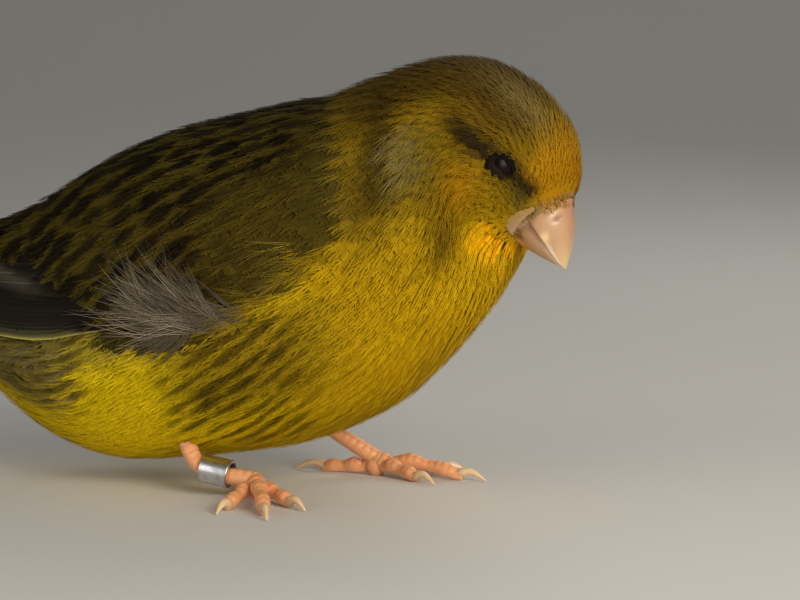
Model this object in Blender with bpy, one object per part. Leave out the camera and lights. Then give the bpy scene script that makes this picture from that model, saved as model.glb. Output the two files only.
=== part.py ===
"""A canary standing at rest, head turned and bent down, at life size.

The bird faces +X, its left side is +Y and the floor it stands on is z = 0.
Sizes are in millimetres and are scaled to metres where a mesh is made.
Run it with: blender --background --python part.py
"""

import math

import bmesh
import bpy
import numpy as np
from mathutils import Vector

MM = 0.001
GAP = 0.32  # clear space kept between two nodes that touch in life
ORIGIN = np.array([-20.13, -2.645, 0.0])  # middle of the whole bird's box on the floor

# Stations of the body from the root of the tail to the root of the bill:
# top edge (x, z), bottom edge (x, z), half of the width.
BODY_STATIONS = (
    ((-44.5, 25.8), (-44.5, 17.4), 5.2),  # root of the tail
    ((-38.5, 28.6), (-38.5, 14.0), 8.4),  # vent
    ((-32.0, 32.6), (-32.0, 9.5), 12.2),
    ((-25.0, 37.8), (-25.0, 4.8), 16.2),  # rump
    ((-17.0, 42.9), (-17.0, 2.5), 19.0),
    ((-8.0, 46.3), (-8.0, 2.9), 20.8),  # belly
    ((0.0, 48.0), (0.0, 3.9), 21.4),
    ((6.4, 49.4), (8.8, 5.5), 21.0),
    ((11.8, 50.4), (19.0, 9.8), 19.8),  # breast
    ((16.2, 52.2), (26.2, 16.0), 17.4),
    ((21.6, 53.8), (31.4, 22.4), 15.2),  # nape and crop
    ((27.4, 54.7), (34.0, 26.8), 13.8),
    ((33.2, 54.0), (35.4, 29.6), 12.8),  # crown and throat
    ((38.4, 51.0), (36.1, 31.0), 11.5),
    ((41.8, 46.8), (36.4, 31.7), 9.7),
    ((43.6, 42.0), (36.5, 32.0), 7.3),  # forehead and chin
    ((43.6, 37.7), (36.8, 32.3), 4.9),  # root of the bill
)
TORSO_END, NECK_END, BILL_ROOT = 8.6, 10.8, 16.0  # station numbers of the two cuts and the face
FULLNESS = 2.12  # 2 is an ellipse, more is squarer

HEAD_TURN = math.radians(12.0)  # towards the bird's right
TURN_FROM, TURN_TO = 8.6, 12.6  # stations over which the neck twists
TURN_PIVOT_X = 20.0

# Swellings and hollows of the head: station, angle up from the side, reach, height.
EYE_STATION, EYE_UP = 13.55, 7.0
HEAD_FORMS = (
    (EYE_STATION, EYE_UP, 3.2, -0.8),  # hollow that the eye lies in
    (EYE_STATION + 0.35, 42.0, 3.4, 0.5),  # brow
    (11.6, -14.0, 5.0, 0.8),  # ear coverts
    (13.6, -44.0, 3.0, 0.5),  # malar feathers
    (15.2, 2.0, 2.2, -0.35),  # lores
)

EYE_RADIUS = 2.15
EYE_SUNK = 1.25
LID_RING, LID_TUBE = 2.35, 0.5

# The bill in the head's own plane, as (x, z): ridge base, tip, chin base and the corner of the gape.
RIDGE_BASE, BILL_TIP, CHIN_BASE = (43.5, 36.6), (42.9, 28.7), (36.6, 31.9)
BILL_HALF_WIDTH = 3.9
BILL_LOWER_SHORT = 0.8
NOSTRIL_RADIUS = 0.55

# Where the wing lies on the body, by x: lower and upper edge as angles up from the side.
WING_EDGES = (
    (16.5, 8.0, 36.0),
    (12.0, -8.0, 48.0),
    (4.0, -17.0, 55.0),
    (-6.0, -14.0, 58.0),
    (-16.0, -10.0, 60.0),
    (-26.0, -12.0, 61.0),
    (-36.0, -22.0, 62.0),
    (-48.0, -28.0, 60.0),
    (-58.0, -26.0, 44.0),
    (-66.0, -12.0, 24.0),
)
# The folded wing behind the body: x, middle height, half height, half width.
WING_SHEATH = (
    (-18.0, 22.4, 18.6, 18.0),
    (-28.0, 22.3, 13.2, 14.6),
    (-38.0, 22.8, 8.4, 9.3),
    (-48.0, 23.2, 6.0, 6.6),
    (-58.0, 23.4, 4.8, 4.8),
    (-66.0, 23.4, 4.0, 3.5),
)
SHEATH_FROM, SHEATH_TO = -18.0, -34.0
WING_RECESS = 2.0
WING_CLEAR = 0.42
WING_PLATE = 1.1
WING_PLATE_END = -50.0

TAIL_ROOT = (-44.5 - GAP, 22.0)
TAIL_DROP = math.radians(11.0)
TAIL_LENGTH = 40.0
TAIL_FORK = 4.5
TAIL_PAIRS = 6
TAIL_HALF_WIDTH = 7.4

VANE_THICK = 0.55
SIDES = {"left": 1.0, "right": -1.0}


def remove_everything():
    """Empties the file that the script starts in."""
    for thing in list(bpy.data.objects):
        bpy.data.objects.remove(thing)


def material(name, colour, roughness=0.8, metallic=0.0):
    """One Principled material."""
    found = bpy.data.materials.get(name)
    if found:
        return found
    made = bpy.data.materials.new(name)
    made.use_nodes = True
    shader = made.node_tree.nodes["Principled BSDF"]
    shader.inputs["Base Color"].default_value = (*colour, 1.0)
    shader.inputs["Roughness"].default_value = roughness
    shader.inputs["Metallic"].default_value = metallic
    return made


def smooth(low, high, value):
    """0 below low, 1 above high and an S between; low may be the larger one."""
    share = np.clip((np.asarray(value, float) - low) / (high - low), 0.0, 1.0)
    return share * share * (3.0 - 2.0 * share)


def spline(rows, place):
    """A smooth curve through the rows, read at fractional row numbers."""
    rows = np.asarray(rows, float)
    last = len(rows) - 1
    place = np.clip(np.asarray(place, float), 0.0, last)
    at = np.minimum(place.astype(int), last - 1)
    part = (place - at)[..., None]
    padded = np.vstack([2 * rows[0] - rows[1], rows, 2 * rows[-1] - rows[-2]])
    a, b, c, d = (padded[at + step] for step in range(4))
    bend = (2 * a - 5 * b + 4 * c - d) * part**2 + (3 * b - a - 3 * c + d) * part**3
    return b + 0.5 * ((c - a) * part + bend)


def by_x(rows, x):
    """The same curve read by the rows' first value, which falls from row to row."""
    rows = np.asarray(rows, float)
    place = np.interp(-np.asarray(x, float), -rows[:, 0], np.arange(len(rows)))
    return spline(rows[:, 1:], place)


BODY_ROWS = np.array([[*top, *low, half] for top, low, half in BODY_STATIONS])


def station_at(x):
    """The body's station number whose middle lies at x."""
    places = np.linspace(0.0, 12.0, 241)
    rows = spline(BODY_ROWS, places)
    return np.interp(x, (rows[:, 0] + rows[:, 2]) / 2, places)


def plain_body(place, angle):
    """The body without its small forms: points and the directions out of them."""
    top_x, top_z, low_x, low_z, half = np.moveaxis(spline(BODY_ROWS, place), -1, 0)
    power = 2.0 / FULLNESS
    across = np.sign(np.cos(angle)) * np.abs(np.cos(angle)) ** power
    upward = np.sign(np.sin(angle)) * np.abs(np.sin(angle)) ** power
    rise_x, rise_z = (top_x - low_x) / 2, (top_z - low_z) / 2
    middle = np.stack([(top_x + low_x) / 2, 0 * half, (top_z + low_z) / 2], -1)
    spoke = np.stack([rise_x * upward, half * across, rise_z * upward], -1)
    out = spoke / np.maximum(np.linalg.norm(spoke, axis=-1, keepdims=True), 1e-9)
    return middle + spoke, out


def side_angle(up, side):
    """The angle round the body of a place that many degrees up from one flank."""
    return np.radians(up) if side > 0 else math.pi - np.radians(up)


def up_from_side(angle):
    """Degrees up from the nearer flank of an angle round the body."""
    return np.degrees(np.arctan2(np.sin(angle), np.abs(np.cos(angle))))


def recess(points, angle):
    """How much of the wing's bed is sunk here, from 0 to 1."""
    here, behind = (by_x(WING_EDGES, points[..., 0] - back) for back in (0.0, 3.5))
    low, high = np.minimum(here, behind)[..., 0], np.maximum(here, behind)[..., 1]
    up = up_from_side(angle)
    along = smooth(19.5, 16.6, points[..., 0]) * smooth(-38.0, -28.0, points[..., 0])
    return along * smooth(low - 14.0, low - 5.0, up) * smooth(high + 14.0, high + 5.0, up)


def turned(points, place):
    """Twists the neck and turns the head."""
    turn = -HEAD_TURN * smooth(TURN_FROM, TURN_TO, place)
    x, y = points[..., 0] - TURN_PIVOT_X, points[..., 1]
    turned_x = x * np.cos(turn) - y * np.sin(turn) + TURN_PIVOT_X
    turned_y = x * np.sin(turn) + y * np.cos(turn)
    return np.stack([turned_x, turned_y, points[..., 2]], -1)


def body(place, angle):
    """The bird's surface: place runs from tail to bill, angle round it from the left flank."""
    place, angle = np.broadcast_arrays(np.asarray(place, float), np.asarray(angle, float))
    points, out = plain_body(place, angle)
    shift = -WING_RECESS * recess(points, angle) * smooth(TORSO_END + 0.05, TORSO_END + 0.01, place)
    for station, up, reach, height in HEAD_FORMS:
        for side in SIDES.values():
            centre, _ = plain_body(np.array(station), np.array(side_angle(up, side)))
            away = np.linalg.norm(points - centre, axis=-1)
            shift = shift + height * np.exp(-((away / reach) ** 2))
    return turned(points + out * shift[..., None], place)


def normals(surface, u, v, step=1e-3):
    """Outward unit normals of a surface by small differences."""
    along = surface(u + step, v) - surface(u - step, v)
    across = surface(u, v + step) - surface(u, v - step)
    normal = np.cross(across, along)
    return normal / np.maximum(np.linalg.norm(normal, axis=-1, keepdims=True), 1e-12)


def mesh_object(name, points, faces, finish=None):
    """A mesh object from points in millimetres; its faces point outwards."""
    mesh = bpy.data.meshes.new(name)
    mesh.from_pydata([tuple(p) for p in (np.asarray(points) - ORIGIN) * MM], [], faces)
    shape = bmesh.new()
    shape.from_mesh(mesh)
    bmesh.ops.remove_doubles(shape, verts=shape.verts, dist=1e-7)
    bmesh.ops.recalc_face_normals(shape, faces=shape.faces)
    shape.to_mesh(mesh)
    shape.free()
    made = bpy.data.objects.new(name, mesh)
    bpy.context.scene.collection.objects.link(made)
    if finish:
        mesh.materials.append(finish)
    return made


def tube(name, rings, finish=None):
    """A closed solid through rings of points; each end is closed by a fan on its middle."""
    rings = np.asarray(rings, float)
    count, around = rings.shape[:2]
    points = list(rings.reshape(-1, 3)) + [rings[0].mean(0), rings[-1].mean(0)]
    faces = []
    for i in range(count - 1):
        for j in range(around):
            k = (j + 1) % around
            faces.append((i * around + j, i * around + k, (i + 1) * around + k, (i + 1) * around + j))
    first, last = count * around, count * around + 1
    for j in range(around):
        k = (j + 1) % around
        faces.append((first, k, j))
        faces.append((last, (count - 1) * around + j, (count - 1) * around + k))
    return mesh_object(name, points, faces, finish)


def triangulated(thing):
    """Splits every face into triangles."""
    shape = bmesh.new()
    shape.from_mesh(thing.data)
    bmesh.ops.triangulate(shape, faces=shape.faces, quad_method="SHORT_EDGE")
    shape.to_mesh(thing.data)
    shape.free()


def keep_largest(thing):
    """Drops every closed surface of a mesh but the largest one."""
    shape = bmesh.new()
    shape.from_mesh(thing.data)
    seen, islands = set(), []
    for start in shape.verts:
        if start in seen:
            continue
        island, waiting = {start}, [start]
        while waiting:
            for edge in waiting.pop().link_edges:
                for other in edge.verts:
                    if other not in island:
                        island.add(other)
                        waiting.append(other)
        seen |= island
        islands.append(island)
    islands.sort(key=len, reverse=True)
    spare = [vert for island in islands[1:] for vert in island]
    bmesh.ops.delete(shape, geom=spare, context="VERTS")
    shape.to_mesh(thing.data)
    shape.free()


def combine(base, others, operation):
    """Joins or cuts a base with closed pieces in one Boolean, and removes the pieces."""
    for piece in [base, *others]:
        triangulated(piece)
    group = bpy.data.collections.new(base.name + "_pieces")
    bpy.context.scene.collection.children.link(group)
    for piece in others:
        bpy.context.scene.collection.objects.unlink(piece)
        group.objects.link(piece)
    step = base.modifiers.new("Combine", "BOOLEAN")
    step.operation = operation
    step.operand_type = "COLLECTION"
    step.collection = group
    step.solver = "MANIFOLD"
    bpy.context.view_layer.update()
    graph = bpy.context.evaluated_depsgraph_get()
    result = bpy.data.meshes.new_from_object(base.evaluated_get(graph))
    base.modifiers.clear()
    base.data = result
    for piece in others:
        bpy.data.objects.remove(piece)
    bpy.data.collections.remove(group)
    keep_largest(base)
    return base


def rounded(thing):
    """Shades a finished solid smooth except at its sharp edges."""
    thing.data.shade_smooth()
    thing.data.set_sharp_from_angle(angle=math.radians(40.0))
    return thing


def body_length(name, first, last, count, around, finish):
    """A length of the body between two stations, closed by flat cuts."""
    places = np.linspace(first, last, count)[:, None]
    angles = np.linspace(0.0, 2 * math.pi, around, endpoint=False)[None, :]
    return tube(name, body(places, angles), finish)


def trunk_and_neck(finish):
    """The torso and the neck, parted by a thin cut."""
    torso = body_length("torso", 0.0, TORSO_END, 26, 38, finish)
    neck = body_length("neck", TORSO_END + 0.06, NECK_END, 8, 34, finish)
    return [rounded(torso), rounded(neck)]


def eye_frame(side):
    """The middle of an eye, its outward direction and the head's surface there."""
    angle = side_angle(EYE_UP, side)
    here = np.array(EYE_STATION)
    out = normals(body, here, np.array(angle))
    surface = body(here, np.array(angle))
    return surface - out * EYE_SUNK, out


def ball(name, centre, radius, finish=None, rings=9, around=16):
    """A faceted sphere."""
    tilt = np.linspace(0.06, math.pi - 0.06, rings)[:, None]
    turn = np.linspace(0.0, 2 * math.pi, around, endpoint=False)[None, :]
    shape = np.stack([np.sin(tilt) * np.cos(turn), np.sin(tilt) * np.sin(turn), np.cos(tilt) + 0 * turn], -1)
    return tube(name, centre + radius * shape, finish)


def two_across(out):
    """Two unit directions square to one another and to out."""
    first = np.cross(out, [0.0, 0.0, 1.0])
    first /= np.linalg.norm(first)
    return first, np.cross(out, first)


def lid_ring(name, side):
    """The raised rim of skin and small feathers round an eye."""
    centre, out = eye_frame(side)
    centre = centre + out * 1.05
    first, second = two_across(out)
    rings = []
    for turn in np.linspace(0.0, 2 * math.pi, 16, endpoint=False):
        spoke = first * math.cos(turn) * 1.06 + second * math.sin(turn) * 0.94
        tube_turn = np.linspace(0.0, 2 * math.pi, 6, endpoint=False)[:, None]
        rings.append(centre + spoke * LID_RING + LID_TUBE * (spoke * np.cos(tube_turn) + out * np.sin(tube_turn)))
    rings = np.asarray(rings)
    count, around = rings.shape[:2]
    faces = []
    for i in range(count):
        for j in range(around):
            a, b = (i + 1) % count, (j + 1) % around
            faces.append((i * around + j, i * around + b, a * around + b, a * around + j))
    return mesh_object(name, rings.reshape(-1, 3), faces)


def head_and_eyes(finish, eye_finish):
    """The head with its lids and sockets, and the eyes that lie in them."""
    head = body_length("head", NECK_END + 0.07, BILL_ROOT, 17, 36, finish)
    lids = [lid_ring("lid_" + name, side) for name, side in SIDES.items()]
    combine(head, lids, "UNION")
    sockets, eyes = [], []
    for name, side in SIDES.items():
        centre, _ = eye_frame(side)
        sockets.append(ball("socket_" + name, centre, EYE_RADIUS + GAP, rings=8, around=14))
        eyes.append(rounded(ball("eye_" + name, centre, EYE_RADIUS, eye_finish, rings=8, around=14)))
    combine(head, sockets, "DIFFERENCE")
    head.data.materials.append(finish)
    return [rounded(head), *eyes]


def head_point(x, z, side_out=0.0):
    """A place in the turned head: x and z in its own middle plane, and a distance out to the left."""
    x, z, side_out = np.broadcast_arrays(*(np.asarray(a, float) for a in (x, z, side_out)))
    return turned(np.stack([x, side_out, z], -1), np.full(x.shape, BILL_ROOT))


def bill_profile(along, sign):
    """Edge of the closed bill at a share of its length: the ridge (+1) or the keel of the chin (-1)."""
    base = np.array(RIDGE_BASE if sign > 0 else CHIN_BASE)
    edge = base + (np.array(BILL_TIP) - base) * along
    outward = np.array([1.0, 0.12]) if sign > 0 else np.array([-0.3, -1.0])
    bulge = 0.95 * along**0.8 * (1 - along) if sign > 0 else 0.55 * along * (1 - along)
    return edge + outward * bulge * 1.9


def bill_half(name, sign, reach, finish):
    """One half of the bill, flat where the two meet; sign is +1 for the upper one."""
    turn = np.linspace(0.0, math.pi, 13)
    rings = []
    for along in np.linspace(0.0, 0.985, 12) * reach:
        ridge, keel = bill_profile(along, 1.0), bill_profile(along, -1.0)
        split = 0.46 - 0.10 * along + 0.05 * math.sin(along * math.pi)
        meet = keel + (ridge - keel) * split
        rise = (ridge - meet) if sign > 0 else (keel - meet)
        size = np.linalg.norm(rise)
        rise = rise / size
        half = BILL_HALF_WIDTH * (1.0 - along**1.45) ** 0.8 * (1.0 if sign > 0 else 0.88)
        flat = meet + rise * GAP / 2
        across = half * np.sign(np.cos(turn)) * np.abs(np.cos(turn)) ** 0.9
        high = max(size - GAP / 2, 0.12) * np.abs(np.sin(turn)) ** 0.95
        rings.append(head_point(flat[0] + rise[0] * high, flat[1] + rise[1] * high, across))
    return tube(name, rings, finish)


def bill(finish):
    """The two halves of the bill, closed, with the nostrils at the root of the upper one."""
    upper = bill_half("bill_upper", 1.0, 1.0, finish)
    lower = bill_half("bill_lower", -1.0, 1.0 - BILL_LOWER_SHORT / 8.0, finish)
    pits = []
    for name, side in SIDES.items():
        ridge, keel = bill_profile(0.17, 1.0), bill_profile(0.17, -1.0)
        place = head_point(*(ridge + (keel - ridge) * 0.13), side * 2.35)
        pits.append(ball("pit_" + name, place, NOSTRIL_RADIUS, rings=7, around=10))
    combine(upper, pits, "DIFFERENCE")
    return [rounded(upper), rounded(lower)]


def wing_surface(x, v, lift, side):
    """A point of the folded wing: x along it, v from its lower edge to its upper, lift off the body."""
    x, v, lift = np.broadcast_arrays(*(np.asarray(a, float) for a in (x, v, lift)))
    low, high = np.moveaxis(by_x(WING_EDGES, x), -1, 0)
    up = np.radians(low + (high - low) * v)
    angle = up if side > 0 else math.pi - up
    place = station_at(x)
    on_body = plain_wing_bed(place, angle)
    middle, tall, wide = np.moveaxis(by_x(WING_SHEATH, x), -1, 0)
    free = np.stack([x, side * wide * np.cos(up), middle + tall * np.sin(up)], -1)
    share = smooth(SHEATH_FROM, SHEATH_TO, x)[..., None]
    points = on_body * (1 - share) + free * share
    out = np.stack([0 * x, side * np.cos(up) / wide, np.sin(up) / tall], -1)
    out /= np.linalg.norm(out, axis=-1, keepdims=True)
    return points + out * (WING_CLEAR + lift)[..., None]


def plain_wing_bed(place, angle):
    """The sunk bed of the wing on the body."""
    points, out = plain_body(place, angle)
    return points - out * WING_RECESS


def wing_plate(name, side):
    """The plate under the wing feathers, which they all grow from."""
    rows = []
    for x in np.linspace(16.0, WING_PLATE_END, 14):
        short = 0.10 * smooth(13.0, 16.0, x) + 0.40 * smooth(-26.0, WING_PLATE_END, x)
        v = np.linspace(short, 1.0 - short, 6)
        outer = wing_surface(x, v, WING_PLATE, side)
        inner = wing_surface(x, v[::-1], 0.0, side)
        rows.append(np.vstack([outer, inner]))
    return tube(name, rows)


def wing_vane(name, side, root, tip, width, lifts, blunt=0.55):
    """One feather lying on the wing: a flat, tapered vane with a low ridge along its shaft."""
    (x0, v0), (x1, v1) = root, tip
    along = np.array([0.0, 0.3, 0.64, 0.88, 1.0])
    share = np.minimum(1.0, 0.62 + 0.9 * along) * (1.0 - smooth(blunt, 1.02, along) * 0.86)
    x = x0 + (x1 - x0) * along
    v = v0 + (v1 - v0) * along
    girth = np.linalg.norm(wing_surface(x, 1.0, 0.0, side) - wing_surface(x, 0.0, 0.0, side), axis=-1) * 1.12
    half = width / 2 * share / girth
    bottom = lifts[0] + (lifts[1] - lifts[0]) * along
    rings = []
    for i in range(len(along)):
        edge_up = bottom[i] + 0.24
        ridge = bottom[i] + VANE_THICK + 0.12 * (1 - along[i])
        rings.append(
            [
                wing_surface(x[i], v[i] - half[i], edge_up, side),
                wing_surface(x[i], v[i], ridge, side),
                wing_surface(x[i], v[i] + half[i], edge_up, side),
                wing_surface(x[i], v[i], bottom[i], side),
            ]
        )
    return tube(name, np.asarray(rings), None)


def wing_feathers(side, tag):
    """All the feathers of one folded wing, tier upon tier."""
    made = []

    def add(label, *sizes, **more):
        made.append(wing_vane(f"{label}_{len(made)}_{tag}", side, *sizes, **more))

    for i in range(7):  # primaries, the longest lowest
        tip_x = -64.5 + 2.3 * i + 0.45 * i * i
        lifts = (0.10 + 0.10 * i, 0.05 + 0.22 * i)
        add("primary", (-12.0, 0.08 + 0.05 * i), (tip_x, 0.28 + 0.085 * i), 4.4, lifts, blunt=0.74)
    for i in range(4):  # secondaries
        lifts = (0.62 + 0.10 * i, 0.9 + 0.16 * i)
        add("secondary", (-12.0, 0.36 + 0.08 * i), (-42.0 + 2.6 * i, 0.56 + 0.09 * i), 5.6, lifts, blunt=0.76)
    for i in range(3):  # tertials
        lifts = (0.95 + 0.15 * i, 1.25 + 0.2 * i)
        add("tertial", (-6.0 + 2.5 * i, 0.72 + 0.06 * i), (-36.0 + 6.0 * i, 0.82 + 0.04 * i), 7.0, lifts, blunt=0.66)
    for i in range(2):  # primary coverts
        lifts = (0.75 + 0.12 * i, 0.8 + 0.14 * i)
        add("primary_covert", (4.0 - i, 0.12 + 0.09 * i), (-18.0 + 4.0 * i, 0.11 + 0.10 * i), 4.2, lifts)
    for i in range(5):  # greater coverts
        lifts = (0.85, 1.30 + 0.04 * (i % 2))
        add("greater_covert", (2.5 - 1.2 * i, 0.22 + 0.15 * i), (-15.0 - 1.2 * i, 0.26 + 0.15 * i), 7.4, lifts)
    for i in range(4):  # median coverts
        lifts = (0.85, 1.70 + 0.04 * (i % 2))
        add("median_covert", (9.0 - 0.9 * i, 0.26 + 0.17 * i), (-5.0 - 1.2 * i, 0.28 + 0.17 * i), 7.6, lifts)
    return made


def wing(tag, side, finish):
    """One folded wing: a plate with its feathers fused to it."""
    plate = wing_plate("wing_" + tag, side)
    combine(plate, wing_feathers(side, tag), "UNION")
    plate.data.materials.clear()
    plate.data.materials.append(finish)
    return rounded(plate)


def tail_point(along, across, lift):
    """A point of the tail: along from its root, across to the left, lift off its middle sheet."""
    along, across, lift = np.broadcast_arrays(*(np.asarray(a, float) for a in (along, across, lift)))
    arch = -0.018 * across**2
    x = TAIL_ROOT[0] - along * math.cos(TAIL_DROP) - (lift + arch) * math.sin(TAIL_DROP)
    z = TAIL_ROOT[1] - along * math.sin(TAIL_DROP) + (lift + arch) * math.cos(TAIL_DROP)
    return np.stack([x, across, z], -1)


def tail_vane(name, start, end, width, lift, thick=VANE_THICK, blunt=0.8):
    """One tail feather or covert as a flat vane with a low ridge; start and end are (along, across)."""
    along = np.array([0.0, 0.3, 0.66, 0.9, 1.0])
    share = np.minimum(1.0, 0.6 + 1.0 * along) * (1.0 - smooth(blunt, 1.03, along) * 0.85)
    run = start[0] + (end[0] - start[0]) * along
    off = start[1] + (end[1] - start[1]) * along
    half = width / 2 * share
    height = lift[0] + (lift[1] - lift[0]) * along
    rings = [
        [
            tail_point(run[i], off[i] - half[i], height[i] + 0.3 * thick),
            tail_point(run[i], off[i], height[i] + thick),
            tail_point(run[i], off[i] + half[i], height[i] + 0.3 * thick),
            tail_point(run[i], off[i], height[i] - 0.1 * thick),
        ]
        for i in range(len(along))
    ]
    return tube(name, np.asarray(rings), None)


def tail(finish):
    """The tail: a root that meets the body, six pairs of feathers and the coverts over and under it."""
    turn = np.linspace(0.0, 2 * math.pi, 16, endpoint=False)
    rings = []
    for along in np.linspace(0.0, 1.0, 6):
        half, tall = 5.1 - 1.9 * along, 4.2 * (1 - along) ** 0.8 + 0.5
        rings.append(tail_point(13.0 * along, half * np.cos(turn), tall * np.sin(turn)))
    rings = np.asarray(rings)
    rings[0, :, 0] = TAIL_ROOT[0]
    root = tube("tail", rings)
    pieces = []
    for i in range(TAIL_PAIRS):  # tail feathers, the middle pair on top
        spread = (i + 0.5) / TAIL_PAIRS
        reach = TAIL_LENGTH - TAIL_FORK * (1 - spread) ** 1.3
        for side in SIDES.values():
            pieces.append(
                tail_vane(
                    f"rectrix_{i}_{side:+.0f}",
                    (5.0, side * spread * 2.6),
                    (reach, side * spread * TAIL_HALF_WIDTH * 0.86),
                    4.2,
                    (0.35 - 0.16 * i, 0.75 - 0.30 * i + 0.04 * side),
                )
            )
    for i in range(4):  # coverts over the tail
        off, reach = (i - 1.5) * 2.2, 13.5 - 1.6 * abs(i - 1.5)
        pieces.append(tail_vane(f"upper_covert_{i}", (1.0, off * 0.8), (reach, off), 4.6, (2.5, 1.2 + 0.1 * (i % 2)), 0.6, 0.5))
    for i in range(4):  # coverts under the tail
        off, reach = (i - 1.5) * 2.2, 15.5 - 1.8 * abs(i - 1.5)
        pieces.append(tail_vane(f"under_covert_{i}", (1.0, off * 0.8), (reach, off), 4.8, (-3.2, -2.3 - 0.1 * (i % 2)), 0.6, 0.5))
    combine(root, pieces, "UNION")
    root.data.materials.clear()
    root.data.materials.append(finish)
    return rounded(root)


# Legs: the shank's line out of the belly down to the foot, where the front toes point and the hind toe's heading.
LEGS = {
    "right": {"line": ((-6.5, -9.0, 9.0), (-2.6, -11.5, 3.55), (4.8, -12.0, 2.2)), "heading": -68.0, "hind": 127.0},
    "left": {"line": ((1.0, 7.6, 12.0), (7.0, 8.4, 7.0), (14.4, 9.4, 2.2)), "heading": -6.0, "hind": 172.0},
}
TARSUS_RADII = (1.15, 0.98, 1.1)
# Toes: name, angle from the foot's heading, length without the claw, claw length, thickness, arch.
TOES = (
    ("inner", 28.0, 8.4, 4.4, 0.98, 0.7),
    ("middle", 2.0, 12.4, 4.8, 1.04, 1.2),
    ("outer", -25.0, 9.2, 4.4, 0.96, 0.8),
    ("hind", None, 8.0, 5.4, 1.0, 0.3),
)
RING_BORE, RING_WALL, RING_LENGTH = 1.42, 0.36, 3.8
RING_FROM_FOOT = 5.3


def round_path(points, radii, around=10, flat=True):
    """Rings round a path; flat presses whatever is lower than the floor onto it."""
    points = np.asarray(points, float)
    headings = np.gradient(points, axis=0)
    rings = []
    for point, heading, radius in zip(points, headings, radii):
        heading = heading / np.linalg.norm(heading)
        left = np.cross([0.0, 0.0, 1.0], heading)
        left = left / max(np.linalg.norm(left), 1e-6)
        up = np.cross(heading, left)
        turn = np.linspace(0.0, 2 * math.pi, around, endpoint=False)[:, None]
        ring = point + radius * (left * np.cos(turn) + up * np.sin(turn))
        if flat:
            ring[:, 2] = np.maximum(ring[:, 2], 0.0)
        rings.append(ring)
    return np.asarray(rings)


def toe(name, foot, heading, length, claw, thick, arch):
    """One toe with its knuckles, bent over its arch, and the claw at its end, as one closed solid."""
    direction = np.array([math.cos(heading), math.sin(heading), 0.0])
    start = np.array([foot[0], foot[1], 0.0])
    along = np.linspace(0.0, 1.0, 9)
    radius = thick * (1.06 - 0.34 * along + 0.12 * np.cos(along * math.pi * 5.0))
    path = start + direction * (length * along)[:, None]
    path[:, 2] = radius * 0.8 + 0.9 * np.exp(-((along / 0.16) ** 2)) + arch * np.sin(along**0.85 * math.pi) ** 1.2
    claw_along = np.linspace(0.0, 1.0, 5)[1:]
    hook = path[-1] + direction * (claw * 0.84 * claw_along)[:, None]
    hook[:, 2] = path[-1, 2] * (1 - claw_along**2) + 0.9 * np.sin(claw_along * math.pi * 0.9) * (1 - 0.6 * claw_along) + 0.02
    claw_radius = 0.60 * (1 - claw_along) ** 0.8 + 0.13
    return tube(name, round_path(np.vstack([path, hook]), np.concatenate([radius, claw_radius]), around=7))


def leg(tag, plan, finish):
    """One leg: the shank out of the belly, and four toes joined under its end."""
    side, foot = SIDES[tag], plan["line"][-1]
    pieces = []
    for label, angle, length, claw, thick, arch in TOES:
        heading = plan["hind"] if angle is None else plan["heading"] - side * angle
        pieces.append(toe(f"toe_{label}_{tag}", foot, math.radians(heading), length, claw, thick, arch))
    pad = ball("pad_" + tag, np.array([*foot[:2], 1.25]), 1.5, rings=7, around=10)
    for vert in pad.data.vertices:
        vert.co.z = max(vert.co.z, 0.0)
    pieces.append(pad)
    along = np.linspace(0.0, 1.0, 7)
    path = np.stack([np.interp(along, (0.0, 0.5, 1.0), axis) for axis in zip(*plan["line"])], -1)
    radii = np.interp(along, (0.0, 0.5, 1.0), TARSUS_RADII)
    shank = tube("leg_" + tag, round_path(path, radii, 10, flat=False))
    places = np.linspace(0.0, TORSO_END, 27)[:, None]
    angles = np.linspace(0.0, 2 * math.pi, 40, endpoint=False)[None, :]
    grown = body(places, angles) + GAP * 1.15 * normals(body, places, angles)
    combine(shank, [tube("belly_cutter", grown)], "DIFFERENCE")
    combine(shank, pieces, "UNION")
    shank.data.materials.clear()
    shank.data.materials.append(finish)
    return rounded(shank)


def leg_ring(bend, foot, finish):
    """The closed metal ring that slides on the right leg."""
    direction = (bend - foot) / np.linalg.norm(bend - foot)
    left, up = two_across(direction)
    middle = foot + direction * RING_FROM_FOOT
    turn = np.linspace(0.0, 2 * math.pi, 24, endpoint=False)
    circle = left * np.cos(turn)[:, None] + up * np.sin(turn)[:, None]
    outer, bore = RING_BORE + RING_WALL, RING_BORE
    rings = [
        middle + direction * along + circle * radius
        for along, radius in (
            (-RING_LENGTH / 2, bore),
            (-RING_LENGTH / 2, outer),
            (RING_LENGTH / 2, outer),
            (RING_LENGTH / 2, bore),
        )
    ]
    points, faces = np.asarray(rings).reshape(-1, 3), []
    for i in range(4):
        for j in range(24):
            a, b = (i + 1) % 4, (j + 1) % 24
            faces.append((i * 24 + j, i * 24 + b, a * 24 + b, a * 24 + j))
    return rounded(mesh_object("leg_ring", points, faces, finish))


def build():
    """Makes every node of the bird."""
    remove_everything()
    plumage = material("plumage", (0.55, 0.40, 0.02))
    flight = material("flight_feathers", (0.06, 0.05, 0.03), 0.6)
    eye = material("eye", (0.01, 0.008, 0.006), 0.08)
    horn = material("bill_horn", (0.72, 0.50, 0.36), 0.4)
    skin = material("leg_skin", (0.62, 0.27, 0.16), 0.5)
    metal = material("ring_metal", (0.72, 0.72, 0.76), 0.25, 1.0)
    trunk_and_neck(plumage)
    head_and_eyes(plumage, eye)
    bill(horn)
    for tag, side in SIDES.items():
        wing(tag, side, flight)
        leg(tag, LEGS[tag], skin)
    leg_ring(*np.array(LEGS["right"]["line"][1:]), metal)
    tail(flight)


build()
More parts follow.
